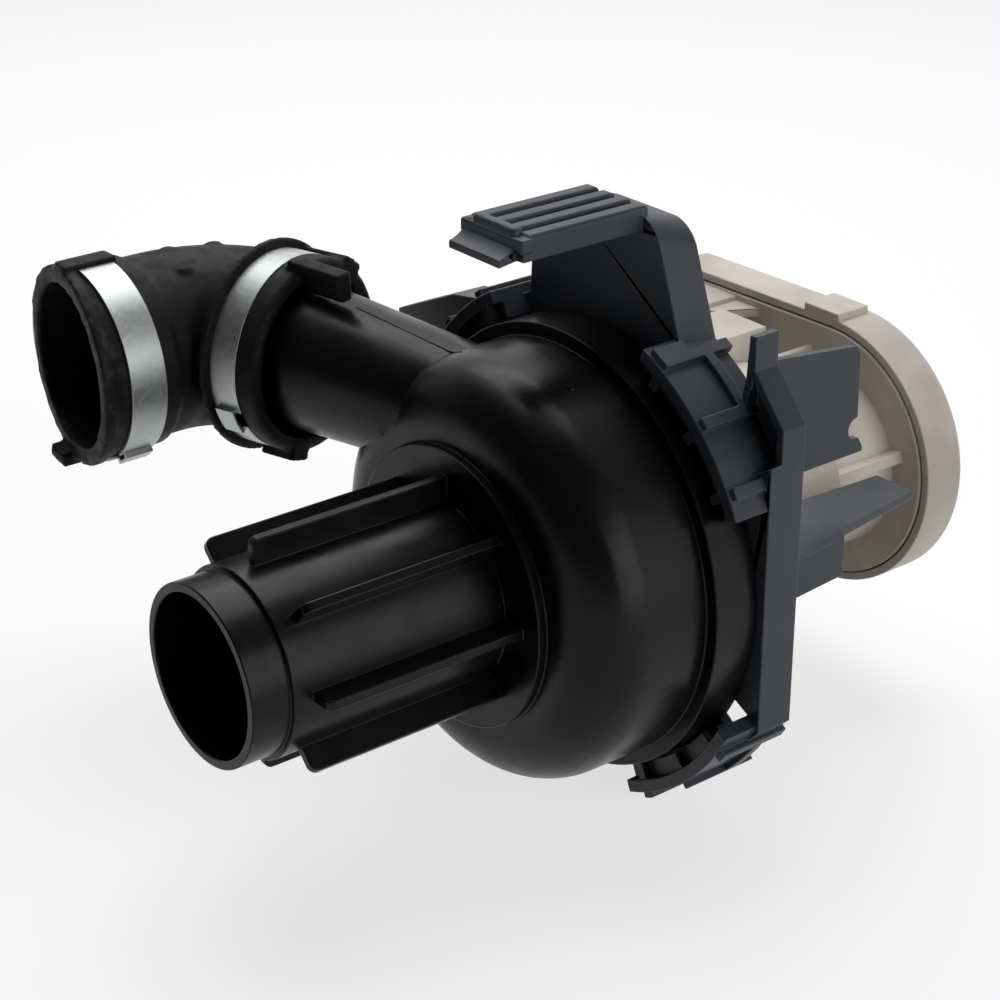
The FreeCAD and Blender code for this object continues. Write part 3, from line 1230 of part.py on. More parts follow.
def ledge(block_top):
    """The thin ledge over the lobe, whose front edge sweeps back into the flange"""
    front, rear = float(mount_face - d.ledge_length), float(mount_face) + 1
    high = float(block_top - d.ledge_drop)
    shoulder = V(-36, front, high)
    sweep = Part.BSplineCurve()
    sweep.interpolate([shoulder, V(-31.5, front + 2.8, high), V(-28.5, rear - 3.4, high), V(-20, rear, high)])
    outer = V(float(socket_mouth) + 4, front, high)
    edges = [sweep.toShape(), Part.LineSegment(V(-20, rear, high), V(outer.x, rear, high)).toShape(),
             Part.LineSegment(V(outer.x, rear, high), outer).toShape(),
             Part.LineSegment(outer, shoulder).toShape()]
    return Part.Face(Part.Wire(Part.__sortEdges__(edges))).extrude(V(0, 0, -float(d.cap_wall)))


def make_motor_housing():
    """The cream housing: barrel with ribs and lugs, rear flange, posts, socket and terminal hood"""
    pieces = [rod(barrel_radius, plate_rear, d.barrel_end), rod(d.tail_radius, plate_rear, mount_rear),
              cap_slab(housing_inset, mount_face, mount_rear)]
    for angle in HOUSING_RIB_ANGLES:
        rib = box((d.tail_radius - 1, d.barrel_end - 1, -1.5), (d.tail_radius + d.tail_rib, mount_face + 1, 1.5))
        pieces.append(turned_copy(rib, angle))
    for angle in LUG_ANGLES:
        place = polar(d.lug_circle, angle)
        lug_rear = plate_rear + d.lug_length
        pieces.append(rod(d.lug_radius, plate_rear, lug_rear, place.x, place.z))
        web = box((barrel_radius - 1, plate_rear, -d.lug_radius), (d.lug_circle, lug_rear, d.lug_radius))
        pieces.append(turned_copy(web, angle))
    for place in cap_screw_places:
        pieces.append(rod(4.2, mount_rear - 1, d.board_at, place.x, place.z))
        pieces.append(rod(3.0, mount_rear - 1, cap_floor, place.x, place.z))
    wall = d.cap_wall
    block_front, block_top = socket_front - wall, cap_top - d.cap_slope - housing_inset
    block = box((socket_mouth, block_front, socket_low - wall), (-d.socket_block, mount_face + 1, block_top))
    block = rounded(block, d.socket_corner, lambda edge: (
        abs(edge.CenterOfMass.x + float(d.socket_block)) + abs(edge.CenterOfMass.y - float(block_front)) < 0.01))
    pieces.append(block.common(cap_slab(housing_inset, block_front - 1, mount_rear)))
    pieces.append(ledge(block_top))
    pieces.append(box((-d.hood_left, d.hood_front, barrel_radius / 3), (-d.hood_right, d.hood_rear, d.hood_top)))
    shape = clean_fuse(pieces)
    room_low, room_high = socket_low + d.socket_height + wall, block_top - wall
    cuts = [rod(barrel_bore, plate_rear - 1, d.barrel_end - d.barrel_wall),
            rod(d.tail_radius - d.barrel_wall, plate_rear, mount_rear + 1),
            box((socket_mouth - 1, socket_front, socket_low),
                (socket_end, mount_face, socket_low + d.socket_height)),
            box((socket_end - 10, socket_front, room_low), (-d.socket_block - wall, mount_rear + 1, room_high)),
            box((wall - d.hood_left, d.hood_front + wall, barrel_bore * 0.7),
                (-d.hood_right - wall, d.hood_rear - wall, d.hood_top - wall))]
    for angle in LUG_ANGLES:
        place = polar(d.lug_circle, angle)
        cuts.append(rod(d.motor_screw_radius + 0.2, plate_rear - 1, plate_rear + d.lug_length + 1,
                        place.x, place.z))
    for place in cap_screw_places:
        cuts.append(rod(d.cap_screw_radius + d.running_gap, cap_floor - 8.5, cap_floor + 1, place.x, place.z))
    cuts += [terminal_pin(place, d.running_gap) for place in range(PIN_COUNT)]
    moulded("motor_housing", shape.cut(cuts))
    moulded("terminal_pins", Part.makeCompound([terminal_pin(place, 0) for place in range(PIN_COUNT)]))
    screw_group("motor_screws", [polar(d.lug_circle, angle) for angle in LUG_ANGLES],
                head_radius=3.6, head=2.6, radius=d.motor_screw_radius, seat=plate_rear + d.lug_length,
                tip=plate_front - boss_depth + 2, driven_from_rear=True)


def make_circuit_board():
    """The circuit board on the housing's posts, and what it carries inside the barrel"""
    board = cap_slab(d.cap_wall + 1.2, d.board_at, d.board_at + d.board_thickness)
    cuts = [rod(3.2, d.board_at - 1, d.board_at + d.board_thickness + 1, place.x, place.z)
            for place in cap_screw_places]
    cuts += [terminal_pin(place, d.running_gap) for place in range(PIN_COUNT)]
    moulded("circuit_board", board.cut(cuts))
    parts = [rod(5.0, d.board_at - 13, d.board_at, -6, 12), rod(5.0, d.board_at - 13, d.board_at, 6, 12),
             box((-8, d.board_at - 3, -12), (8, d.board_at, 0)),
             rod(6.0, d.board_at - 9, d.board_at, 11, -11).cut(rod(2.5, d.board_at - 10, d.board_at, 11, -11)),
             box((-20, d.board_at - 6, -8), (-12, d.board_at, 2))]
    moulded("board_components", Part.makeCompound(parts))


def make_end_cap():
    """The cream cap over the circuit board, with its latch block and its four screws"""
    cup = cap_slab(0, d.cap_front, cap_rear)
    rim = [edge for edge in cup.Edges
           if all(abs(vertex.Point.y - float(cap_rear)) < 1e-6 for vertex in edge.Vertexes)]
    cup = cup.makeFillet(1.6, rim)
    cup = cup.cut(cap_slab(d.cap_wall, d.cap_front - 1, cap_floor))
    latch_left, latch_right = -10.5, 2.0
    block = box((latch_left, d.cap_front, cap_top - 1), (latch_right, cap_rear - 2, cap_top + d.latch_height))
    shape = clean_fuse([cup, block])
    holes = [rod(d.cap_screw_radius + 0.2, cap_floor - 1, cap_rear + 1, place.x, place.z)
             for place in cap_screw_places]
    moulded("end_cap", shape.cut(holes))
    screw_group("cap_screws", cap_screw_places, head_radius=2.7, head=1.8, radius=d.cap_screw_radius,
                seat=cap_rear, tip=cap_floor - 7.5, driven_from_rear=True)


def check_and_export():
    """Recompute, check every object and every shape, and write one STEP file for each node"""
    doc.recompute()
    for obj in doc.Objects:
        if "Invalid" in obj.State or "Error" in obj.State:
            raise RuntimeError("%s is not up to date: %s" % (obj.Name, obj.State))
    for obj in nodes:
        if obj.Shape.isNull() or not obj.Shape.isValid():
            raise RuntimeError("%s has no valid shape" % obj.Label)
    os.makedirs("parts", exist_ok=True)
    for obj in nodes:
        obj.Shape.exportStep("parts/%s.step" % obj.Label)
        print(obj.Label, len(obj.Shape.Solids), round(obj.Shape.Volume, 1))


make_pump_cover()
seal_ring("cover_seal", drum_bore - d.seal_section - 0.03, d.seal_section, (groove_front + groove_rear) / 2)
turned("wear_ring", [
    (d.eye_radius + d.eye_gap, d.ring_seat_at + 0.1),
    (d.ring_seat_radius - d.seat_gap, d.ring_seat_at + 0.1),
    (d.ring_seat_radius - d.seat_gap, d.neck_end), (d.neck_radius - 0.5, d.neck_end),
    (d.neck_radius - 0.5, d.neck_end + 1.5), (d.eye_radius + d.eye_gap, d.neck_end + 1.5)])
make_outlet_elbow()
make_clamps()
make_motor_bracket()
make_bearing_carrier()
make_rotor_can()
make_bearings()
make_impeller()
make_rotor()
make_stator()
make_motor_housing()
make_circuit_board()
make_end_cap()
check_and_export()
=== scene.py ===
"""Dishwasher wash pump with its motor: finishes, softened mouldings, steel bands and a pale studio.

Everything is in metres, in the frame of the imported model: +Y along the pump's axis from the inlet
mouth towards the motor, +Z up, and the outlet elbow to -X.
"""

import bmesh
import bpy
import json
import math
from mathutils import Matrix, Vector
from mathutils.bvhtree import BVHTree


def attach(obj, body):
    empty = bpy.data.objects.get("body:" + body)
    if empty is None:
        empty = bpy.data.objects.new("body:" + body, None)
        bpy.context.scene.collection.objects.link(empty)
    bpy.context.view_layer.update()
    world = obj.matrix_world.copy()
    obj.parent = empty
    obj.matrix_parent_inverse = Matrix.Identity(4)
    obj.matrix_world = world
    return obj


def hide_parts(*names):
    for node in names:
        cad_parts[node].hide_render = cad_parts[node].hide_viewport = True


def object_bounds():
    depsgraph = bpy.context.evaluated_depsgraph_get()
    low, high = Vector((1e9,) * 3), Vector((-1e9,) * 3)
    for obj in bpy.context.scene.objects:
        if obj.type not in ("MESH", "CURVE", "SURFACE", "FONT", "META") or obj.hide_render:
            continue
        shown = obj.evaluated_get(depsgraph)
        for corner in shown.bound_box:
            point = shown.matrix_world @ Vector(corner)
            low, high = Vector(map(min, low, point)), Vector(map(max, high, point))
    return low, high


bl_info = {
    "name": "Wash Pump",
    "version": (1, 0, 0),
    "blender": (4, 5, 0),
    "location": "3D View > Sidebar > Pump",
    "description": "Dresses the wash pump's frame with mouldings, finishes and a studio",
    "category": "Object",
}

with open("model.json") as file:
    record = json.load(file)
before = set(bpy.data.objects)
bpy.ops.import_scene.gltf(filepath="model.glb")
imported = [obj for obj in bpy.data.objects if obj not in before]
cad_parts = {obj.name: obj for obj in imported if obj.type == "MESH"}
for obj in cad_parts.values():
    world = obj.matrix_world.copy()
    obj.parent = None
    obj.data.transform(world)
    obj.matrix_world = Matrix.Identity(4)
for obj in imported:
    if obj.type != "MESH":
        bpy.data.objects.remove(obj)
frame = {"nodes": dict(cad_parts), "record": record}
CAD_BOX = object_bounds()
SLOT_OF = {entry["node"]: entry["material_slot"] for entry in frame["record"]["subparts"]}
BODY_OF = {node: body for body, members in frame["record"]["behaviour"]["bodies"].items()
           for node in members}

MM = 0.001

# CAD pieces that are remade here, with the names of the pieces that stand for them
REMADE = {
    "pump_cover": "volute",
    "outlet_elbow": "rubber_elbow",
    "neck_clamp": "neck_band",
    "mouth_clamp": "mouth_band",
    "motor_bracket": "fixing_bracket",
    "motor_housing": "motor_shell",
    "end_cap": "motor_cap",
}

# How a copy of a CAD piece is joined, rounded and shaded: distances in metres, angles in degrees
MERGE_DISTANCE = 0.002 * MM
FLAT_WITHIN = 0.2
ROUNDED_FROM = 30
CREASE_FROM = 25
ROUND_SEGMENTS = 2
SHARE_OF_ROOM = 0.4
IN_LINE = 0.9
SOFTENING_PASSES = 3

# Mould marks on the volute, found by looking down and inwards at its skin
PARTING_FROM = Vector((-54 * MM, 82 * MM, 80 * MM))
PARTING_TO = Vector((-16 * MM, 86 * MM, 80 * MM))
PARTING_STEPS = 16
PARTING_RADIUS = 0.26 * MM
GATE_ANGLE = 72
GATE_Y = 93 * MM
GATE_FOOT = 1.5 * MM
GATE_TOP = 1.2 * MM
GATE_DEPTH = 0.7 * MM
LOOK_FROM = 80 * MM
MARK_CREASE = 40

CAMERA_PLACE = (0.3916, -0.2199, 0.2560)
CAMERA_AZIMUTH = 52.1
CAMERA_ELEVATION = 25.6
CAMERA_ROLL = -0.3
CAMERA_LENS = 82.8
CAMERA_CLIP = 0.01

# Soft lamps: name, place and side length in metres, power in watts
LAMPS = (
    ("top_softbox", (-0.38, 0.32, 0.86), 0.85, 7.6),
    ("side_softbox", (1.00, 0.32, 0.24), 0.8, 5.6),
)
LAMP_TARGET = Vector((-0.02, 0.08, 0.0))

# The surround is white away from DARK_SIDE and nearly black towards it. It lights the pump with
# SURROUND_FILL of the strength at which it is seen, and the floor glows by FLOOR_LIFT where it is seen.
DARK_SIDE = Vector((0.55, -0.80, 0.15)).normalized()
DARK_LEVEL = 0.07
WHITE_UNTIL = -0.9
DARK_FROM = 0.3
SURROUND_FILL = 0.45
FLOOR_LIFT = 0.7


def colour_setting(name, description, default):
    """A colour that a user can change"""
    return bpy.props.FloatVectorProperty(name=name, description=description, subtype="COLOR", size=3,
                                         default=default, min=0.0, max=1.0)


def length_setting(name, description, default):
    """A length that a user can change"""
    return bpy.props.FloatProperty(name=name, description=description, default=default, min=0.0,
                                   unit="LENGTH")


class PumpSizes(bpy.types.PropertyGroup):
    """Sizes of the moulded detail and of the studio"""

    hard_edge: length_setting("Moulded edge", "Rounding of the edges of the hard mouldings", 0.3 * MM)
    bracket_edge: length_setting("Bracket edge", "Rounding of the edges of the bracket", 0.3 * MM)
    soft_grain: length_setting("Rubber mesh", "Mesh size at which the rubber elbow is rounded off", 0.65 * MM)
    steel_edge: length_setting("Steel edge", "Rounding of the edges of the steel bands", 0.12 * MM)
    floor_reach: length_setting("Floor", "Distance from the pump to the floor's edge", 6.0)


class PumpColours(bpy.types.PropertyGroup):
    """Colours of the finishes"""

    black_plastic: colour_setting("Volute", "Black moulded plastic", (0.005, 0.005, 0.0055))
    black_rubber: colour_setting("Elbow", "Matte black rubber", (0.010, 0.010, 0.0105))
    rubber_bloom: colour_setting("Bloom", "Pale bloom on the rubber", (0.036, 0.035, 0.033))
    grey_plastic: colour_setting("Bracket", "Blue-grey moulded plastic", (0.040, 0.045, 0.054))
    cream_plastic: colour_setting("Motor", "Cream moulded plastic", (0.58, 0.545, 0.48))
    zinc: colour_setting("Bands", "Zinc coat of the steel bands", (0.44, 0.46, 0.45))
    floor: colour_setting("Floor", "Pale studio floor", (0.34, 0.34, 0.34))


class Finish:
    """A material that is put together from nodes on the object's own coordinates"""

    def __init__(self, name):
        self.material = bpy.data.materials.new(name)
        self.material.use_nodes = True
        self.nodes = self.material.node_tree.nodes
        self.links = self.material.node_tree.links
        self.shader = self.nodes["Principled BSDF"]
        self.place = self.nodes.new("ShaderNodeTexCoord").outputs["Object"]

    def put(self, socket, value):
        """Link a socket to an output, or set it to a plain value"""
        if isinstance(value, bpy.types.NodeSocket):
            self.links.new(value, socket)
        elif socket.type == "RGBA" and len(value) == 3:
            socket.default_value = (*value, 1.0)
        else:
            socket.default_value = value

    def add(self, kind, inputs=None, **settings):
        """A node with its settings and inputs"""
        node = self.nodes.new(kind)
        for name, value in settings.items():
            setattr(node, name, value)
        for name, value in (inputs or {}).items():
            self.put(node.inputs[name], value)
        return node

    def stretched(self, factors):
        """The object's coordinates, scaled by a factor along each axis"""
        return self.add("ShaderNodeMapping", {"Vector": self.place, "Scale": factors}).outputs[0]

    def noise(self, size, detail=2.0, place=None):
        """Soft noise with patches of a given size in metres"""
        return self.add("ShaderNodeTexNoise", {"Vector": place or self.place, "Scale": 1.0 / size,
                                               "Detail": detail}).outputs[0]

    def cells(self, size, feature="F1"):
        """Random cells of a given size in metres: their colour and their distance"""
        return self.add("ShaderNodeTexVoronoi", {"Vector": self.place, "Scale": 1.0 / size},
                        feature=feature)

    def spread(self, value, low, high, to_low=0.0, to_high=1.0):
        """A value's range mapped softly to another range"""
        return self.add("ShaderNodeMapRange", {"Value": value, "From Min": low, "From Max": high,
                                               "To Min": to_low, "To Max": to_high},
                        interpolation_type="SMOOTHSTEP").outputs[0]

    def blend(self, share, first, second):
        """Two colours mixed by a share"""
        node = self.add("ShaderNodeMix", data_type="RGBA")
        self.put(node.inputs[0], share)
        self.put(node.inputs[6], first)
        self.put(node.inputs[7], second)
        return node.outputs[2]

    def reckon(self, how, first, second):
        """Two values joined by arithmetic"""
        node = self.add("ShaderNodeMath", operation=how)
        self.put(node.inputs[0], first)
        self.put(node.inputs[1], second)
        return node.outputs[0]

    def edges(self, radius):
        """Nearly 1 along outer and inner edges, and 0 on flat places"""
        rounded = self.add("ShaderNodeBevel", {"Radius": radius}, samples=4).outputs[0]
        flat = self.add("ShaderNodeNewGeometry").outputs["Normal"]
        match = self.add("ShaderNodeVectorMath", operation="DOT_PRODUCT")
        self.put(match.inputs[0], rounded)
        self.put(match.inputs[1], flat)
        return self.spread(match.outputs["Value"], 1.0, 0.9)

    def bumps(self, layers):
        """Relief from (height, distance in metres) layers, laid over one another"""
        normal = None
        for height, distance in layers:
            node = self.add("ShaderNodeBump", {"Height": height, "Distance": distance, "Strength": 1.0})
            if normal:
                self.put(node.inputs["Normal"], normal)
            normal = node.outputs[0]
        self.put(self.shader.inputs["Normal"], normal)

    def finish(self, colour, roughness, **values):
        """Give the shader its colour, roughness and plain values"""
        self.put(self.shader.inputs["Base Color"], colour)
        self.put(self.shader.inputs["Roughness"], roughness)
        for name, value in values.items():
            self.put(self.shader.inputs[name.replace("_", " ")], value)
        return self.material


def scaled(colour, factor):
    """A colour made lighter or darker"""
    return tuple(min(1.0, channel * factor) for channel in colour)


def moulded_plastic(name, colour, roughness, grain, wear_and_highlight, specular=0.5, speckle=0.2):
    """Satin plastic: fine eroded grain, slight waves, cloudy colour, and edges painted lighter, partly as
    edge wear and partly as a painted highlight
    """
    skin = Finish(name)
    cloud = skin.spread(skin.noise(26 * MM, 3.0), 0.35, 0.65)
    speck = skin.spread(skin.noise(1.1 * MM, 2.0), 0.55, 0.75)
    tone = skin.blend(cloud, scaled(colour, 0.9), scaled(colour, 1.12))
    tone = skin.blend(skin.reckon("MULTIPLY", speck, speckle), tone, scaled(colour, 1.5))
    # Outer and inner edges painted lighter: partly edge wear, partly a painted highlight standing in for
    # light caught by the rounded edges
    tone = skin.blend(skin.reckon("MULTIPLY", skin.edges(0.5 * MM), wear_and_highlight), tone, scaled(colour, 2.6))
    gloss = skin.spread(skin.noise(9 * MM, 3.0), 0.3, 0.7, roughness - 0.04, roughness + 0.05)
    skin.bumps([(skin.noise(11 * MM, 1.0), 0.012 * MM), (skin.noise(0.28 * MM, 1.0), grain)])
    return skin.finish(tone, gloss, Specular_IOR_Level=specular)


def matte_rubber(name, colour, bloom):
    """Rubber: dull, with a pale mottled bloom that is strongest on the mouth's lip"""
    skin = Finish(name)
    axes = skin.add("ShaderNodeSeparateXYZ", {"Vector": skin.place}).outputs
    lip = skin.spread(axes["Y"], 33 * MM, 27 * MM)
    mottle = skin.spread(skin.noise(3.2 * MM, 4.0), 0.48, 0.66)
    dust = skin.spread(skin.noise(14 * MM, 3.0), 0.45, 0.75, 0.0, 0.35)
    share = skin.reckon("MULTIPLY", mottle, skin.reckon("MAXIMUM", lip, dust))
    tone = skin.blend(skin.reckon("MULTIPLY", share, 0.8), colour, bloom)
    tone = skin.blend(skin.reckon("MULTIPLY", skin.edges(0.6 * MM), 0.35), tone, bloom)
    skin.bumps([(skin.noise(4 * MM, 2.0), 0.08 * MM), (skin.noise(0.35 * MM, 2.0), 0.02 * MM)])
    return skin.finish(tone, skin.spread(skin.noise(5 * MM, 2.0), 0.3, 0.7, 0.5, 0.66),
                       Specular_IOR_Level=0.14)


def zinc_coat(name, colour):
    """Galvanised steel: dull crystals of zinc, rolled streaks and darker cut edges"""
    skin = Finish(name)
    cells = skin.cells(0.9 * MM).outputs["Color"]
    crystal = skin.add("ShaderNodeSeparateColor", {"Color": cells}).outputs[0]
    tone = skin.blend(crystal, scaled(colour, 0.9), scaled(colour, 1.06))
    cloud = skin.spread(skin.noise(9 * MM, 4.0), 0.4, 0.7)
    tone = skin.blend(skin.reckon("MULTIPLY", cloud, 0.3), tone, scaled(colour, 0.75))
    tone = skin.blend(skin.reckon("MULTIPLY", skin.edges(0.3 * MM), 0.55), tone, scaled(colour, 0.3))
    gloss = skin.reckon("ADD", skin.reckon("MULTIPLY", crystal, 0.08), 0.42)
    skin.bumps([(skin.noise(0.5 * MM, 3.0), 0.008 * MM), (crystal, 0.004 * MM)])
    return skin.finish(tone, gloss, Metallic=1.0)


def worked_metal(name, colour, roughness, metallic=1.0):
    """Turned, rolled or sintered metal with fine marks and patchy dullness"""
    skin = Finish(name)
    patch = skin.spread(skin.noise(3 * MM, 3.0), 0.35, 0.7)
    tone = skin.blend(patch, scaled(colour, 0.85), scaled(colour, 1.1))
    tone = skin.blend(skin.reckon("MULTIPLY", skin.edges(0.2 * MM), 0.5), tone, scaled(colour, 1.3))
    marks = skin.noise(0.4 * MM, 2.0, skin.stretched((1.0, 6.0, 1.0)))
    skin.bumps([(marks, 0.006 * MM)])
    gloss = skin.spread(patch, 0.0, 1.0, roughness - 0.06, roughness + 0.08)
    return skin.finish(tone, gloss, Metallic=metallic)


def laminated_iron(name, colour):
    """Stacked sheets of electrical steel, half a millimetre each"""
    skin = Finish(name)
    axes = skin.add("ShaderNodeSeparateXYZ", {"Vector": skin.place}).outputs
    sheet = skin.reckon("FRACT", skin.reckon("DIVIDE", axes["Y"], 0.5 * MM), 0.0)
    seam = skin.spread(sheet, 0.12, 0.0)
    tone = skin.blend(skin.spread(skin.noise(4 * MM, 3.0), 0.4, 0.7), colour, scaled(colour, 0.7))
    tone = skin.blend(seam, tone, scaled(colour, 0.35))
    skin.bumps([(seam, -0.02 * MM)])
    return skin.finish(tone, skin.spread(seam, 0.0, 1.0, 0.45, 0.65), Metallic=0.8)


def copper_winding(name, colour):
    """Turns of enamelled wire laid side by side along the pump's axis"""
    skin = Finish(name)
    turns = skin.add("ShaderNodeTexWave", bands_direction="X",
                     inputs={"Vector": skin.place, "Scale": 1.0 / (2.2 * MM), "Distortion": 0.6})
    waves = turns.outputs["Fac"]
    tone = skin.blend(waves, scaled(colour, 0.45), scaled(colour, 1.1))
    skin.bumps([(waves, 0.12 * MM)])
    return skin.finish(tone, skin.spread(waves, 0.0, 1.0, 0.5, 0.3), Metallic=0.85)


def board_laminate(name, colour):
    """Green laminate with faint tracks under its coat"""
    skin = Finish(name)
    tracks = skin.spread(skin.cells(4 * MM, "DISTANCE_TO_EDGE").outputs["Distance"], 0.05, 0.09)
    tone = skin.blend(tracks, scaled(colour, 1.6), colour)
    skin.bumps([(tracks, -0.03 * MM)])
    return skin.finish(tone, skin.spread(skin.noise(2 * MM, 2.0), 0.3, 0.7, 0.28, 0.4))


FINISHES = {}


def finish_for(slot):
    """The finish of one of the record's material slots, made when it is first needed"""
    if slot in FINISHES:
        return FINISHES[slot]
    colours = bpy.context.scene.pump_colours
    plain = {entry["slot"]: tuple(entry["base_color"]) for entry in frame["record"]["materials"]}
    makers = {
        "black_plastic": lambda: moulded_plastic(
            slot, tuple(colours.black_plastic), roughness=0.3, grain=0.008 * MM, wear_and_highlight=0.4,
            specular=0.17, speckle=0.1),
        "grey_plastic": lambda: moulded_plastic(
            slot, tuple(colours.grey_plastic), roughness=0.42, grain=0.012 * MM, wear_and_highlight=0.55,
            specular=0.3),
        "cream_plastic": lambda: moulded_plastic(
            slot, tuple(colours.cream_plastic), roughness=0.42, grain=0.008 * MM, wear_and_highlight=0.1,
            specular=0.4, speckle=0.0),
        "black_rubber": lambda: matte_rubber(
            slot, tuple(colours.black_rubber), tuple(colours.rubber_bloom)),
        "galvanised_steel": lambda: zinc_coat(slot, tuple(colours.zinc)),
        "stator_iron": lambda: laminated_iron(slot, plain[slot]),
        "winding": lambda: copper_winding(slot, plain[slot]),
        "board": lambda: board_laminate(slot, plain[slot]),
    }
    dullness = {"screw_steel": 0.34, "stainless_steel": 0.24, "brass": 0.3, "tinned_brass": 0.3,
                "magnet": 0.5}
    if slot in makers:
        FINISHES[slot] = makers[slot]()
    elif slot in dullness:
        metallic = 0.2 if slot == "magnet" else 1.0
        FINISHES[slot] = worked_metal(slot, plain[slot], dullness[slot], metallic)
    else:
        FINISHES[slot] = moulded_plastic(slot, plain[slot], roughness=0.46, grain=0.01 * MM, wear_and_highlight=0.3)
    return FINISHES[slot]


def dress(nodes):
    """Give carried-over pieces their finish"""
    for node in nodes:
        holder = frame["nodes"][node]
        if not holder.material_slots:
            raise RuntimeError("%s has no place for a finish" % node)
        for place in holder.material_slots:
            place.link = "OBJECT"
            place.material = finish_for(SLOT_OF[node])


def joined_copy(node):
    """A mesh copy of a piece, with its loose triangles joined and its flat faces merged"""
    work = bmesh.new()
    work.from_mesh(frame["nodes"][node].data)
    bmesh.ops.remove_doubles(work, verts=work.verts, dist=MERGE_DISTANCE)
    bmesh.ops.dissolve_limit(work, angle_limit=math.radians(FLAT_WITHIN), verts=work.verts,
                             edges=work.edges, delimit=set())
    return work


def new_piece(work, name, node):
    """Turn a bmesh into a piece that has a CAD piece's finish and rides with its body"""
    mesh = bpy.data.meshes.new(name)
    work.to_mesh(mesh)
    work.free()
    piece = bpy.data.objects.new(name, mesh)
    bpy.context.scene.collection.objects.link(piece)
    mesh.materials.append(finish_for(SLOT_OF[node]))
    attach(piece, BODY_OF[node])
    return piece


def remade_piece(work, node):
    """Turn a bmesh into the piece that stands for a CAD piece"""
    piece = new_piece(work, REMADE[node], node)
    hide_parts(node)
    return piece


def shade_by_angle(mesh, angle):
    """Smooth shading, with creases kept where two faces meet at more than an angle"""
    mesh.shade_smooth()
    mesh.set_sharp_from_angle(angle=math.radians(angle))


def room_beside(loop):
    """The narrowest place beside an edge in one of its faces: at its two ends and inwards from its middle"""
    start, end = loop.vert.co, loop.link_loop_next.vert.co
    along = (end - start).normalized()
    inward = loop.face.normal.cross(along)
    room = math.inf
    for side in (loop.link_loop_prev, loop.link_loop_next):
        reach = side.link_loop_next.vert.co - side.vert.co
        if reach.normalized().dot(along) < IN_LINE:
            room = min(room, reach.cross(along).length)
    for other in loop.face.loops:
        first = other.vert.co - (start + end) / 2
        second = other.link_loop_next.vert.co - (start + end) / 2
        before, after = first.dot(along), second.dot(along)
        if other != loop and before * after < 0:
            crossing = first.lerp(second, before / (before - after)).dot(inward)
            if crossing > MERGE_DISTANCE:
                room = min(room, crossing)
    return room


def mark_edges(work, width):
    """Weigh each sharp edge for its rounding: fully where there is room, less in narrow places"""
    weights = work.edges.layers.float.new("bevel_weight_edge")
    for edge in work.edges:
        if edge.calc_face_angle(0.0) > math.radians(ROUNDED_FROM):
            room = min(room_beside(loop) for loop in edge.link_loops)
            edge[weights] = min(1.0, SHARE_OF_ROOM * room / width)


def hard_piece(node, width):
    """A copy of a hard piece with rounded edges"""
    work = joined_copy(node)
    mark_edges(work, width)
    piece = remade_piece(work, node)
    shade_by_angle(piece.data, CREASE_FROM)
    bevel = piece.modifiers.new("rounded edges", "BEVEL")
    bevel.width = width
    bevel.segments = ROUND_SEGMENTS
    bevel.limit_method = "WEIGHT"
    bevel.use_clamp_overlap = False
    even = piece.modifiers.new("even shading", "WEIGHTED_NORMAL")
    even.keep_sharp = True


def soft_piece(node, grain):
    """A copy of a soft piece, rounded off all over"""
    piece = remade_piece(joined_copy(node), node)
    remesh = piece.modifiers.new("even mesh", "REMESH")
    remesh.mode = "VOXEL"
    remesh.voxel_size = grain
    remesh.use_smooth_shade = True
    smooth = piece.modifiers.new("rounded off", "SMOOTH")
    smooth.factor = 0.5
    smooth.iterations = SOFTENING_PASSES


def mark_piece(work, name, node):
    """Turn a bmesh into a small mark on a CAD piece"""
    bmesh.ops.recalc_face_normals(work, faces=work.faces)
    shade_by_angle(new_piece(work, name, node).data, MARK_CREASE)


def skin_of(node):
    """A CAD piece's surface, for finding places on it"""
    work = bmesh.new()
    work.from_mesh(frame["nodes"][node].data)
    skin = BVHTree.FromBMesh(work)
    work.free()
    return skin


def facing(place, direction):
    """The matrix that puts a shape at a place with its own Z along a direction"""
    return Matrix.Translation(place) @ direction.to_track_quat("Z", "Y").to_matrix().to_4x4()


def thin_bead(points, radius):
    """A thin round bead through points that lie nearly in line"""
    work = bmesh.new()
    bmesh.ops.create_circle(work, cap_ends=True, radius=radius, segments=8,
                            matrix=facing(points[0], points[-1] - points[0]))
    front = work.faces[:]
    for before, after in zip(points, points[1:]):
        grown = bmesh.ops.extrude_face_region(work, geom=front)["geom"]
        bmesh.ops.translate(work, vec=after - before,
                            verts=[item for item in grown if isinstance(item, bmesh.types.BMVert)])
        front = [item for item in grown if isinstance(item, bmesh.types.BMFace)]
    return work


class DressCover(bpy.types.Operator):
    """Make the black volute with its spigot, ribs and outlet"""

    bl_idname = "pump.cover"
    bl_label = "Volute"

    def execute(self, context):
        hard_piece("pump_cover", context.scene.pump_sizes.hard_edge)
        return {"FINISHED"}


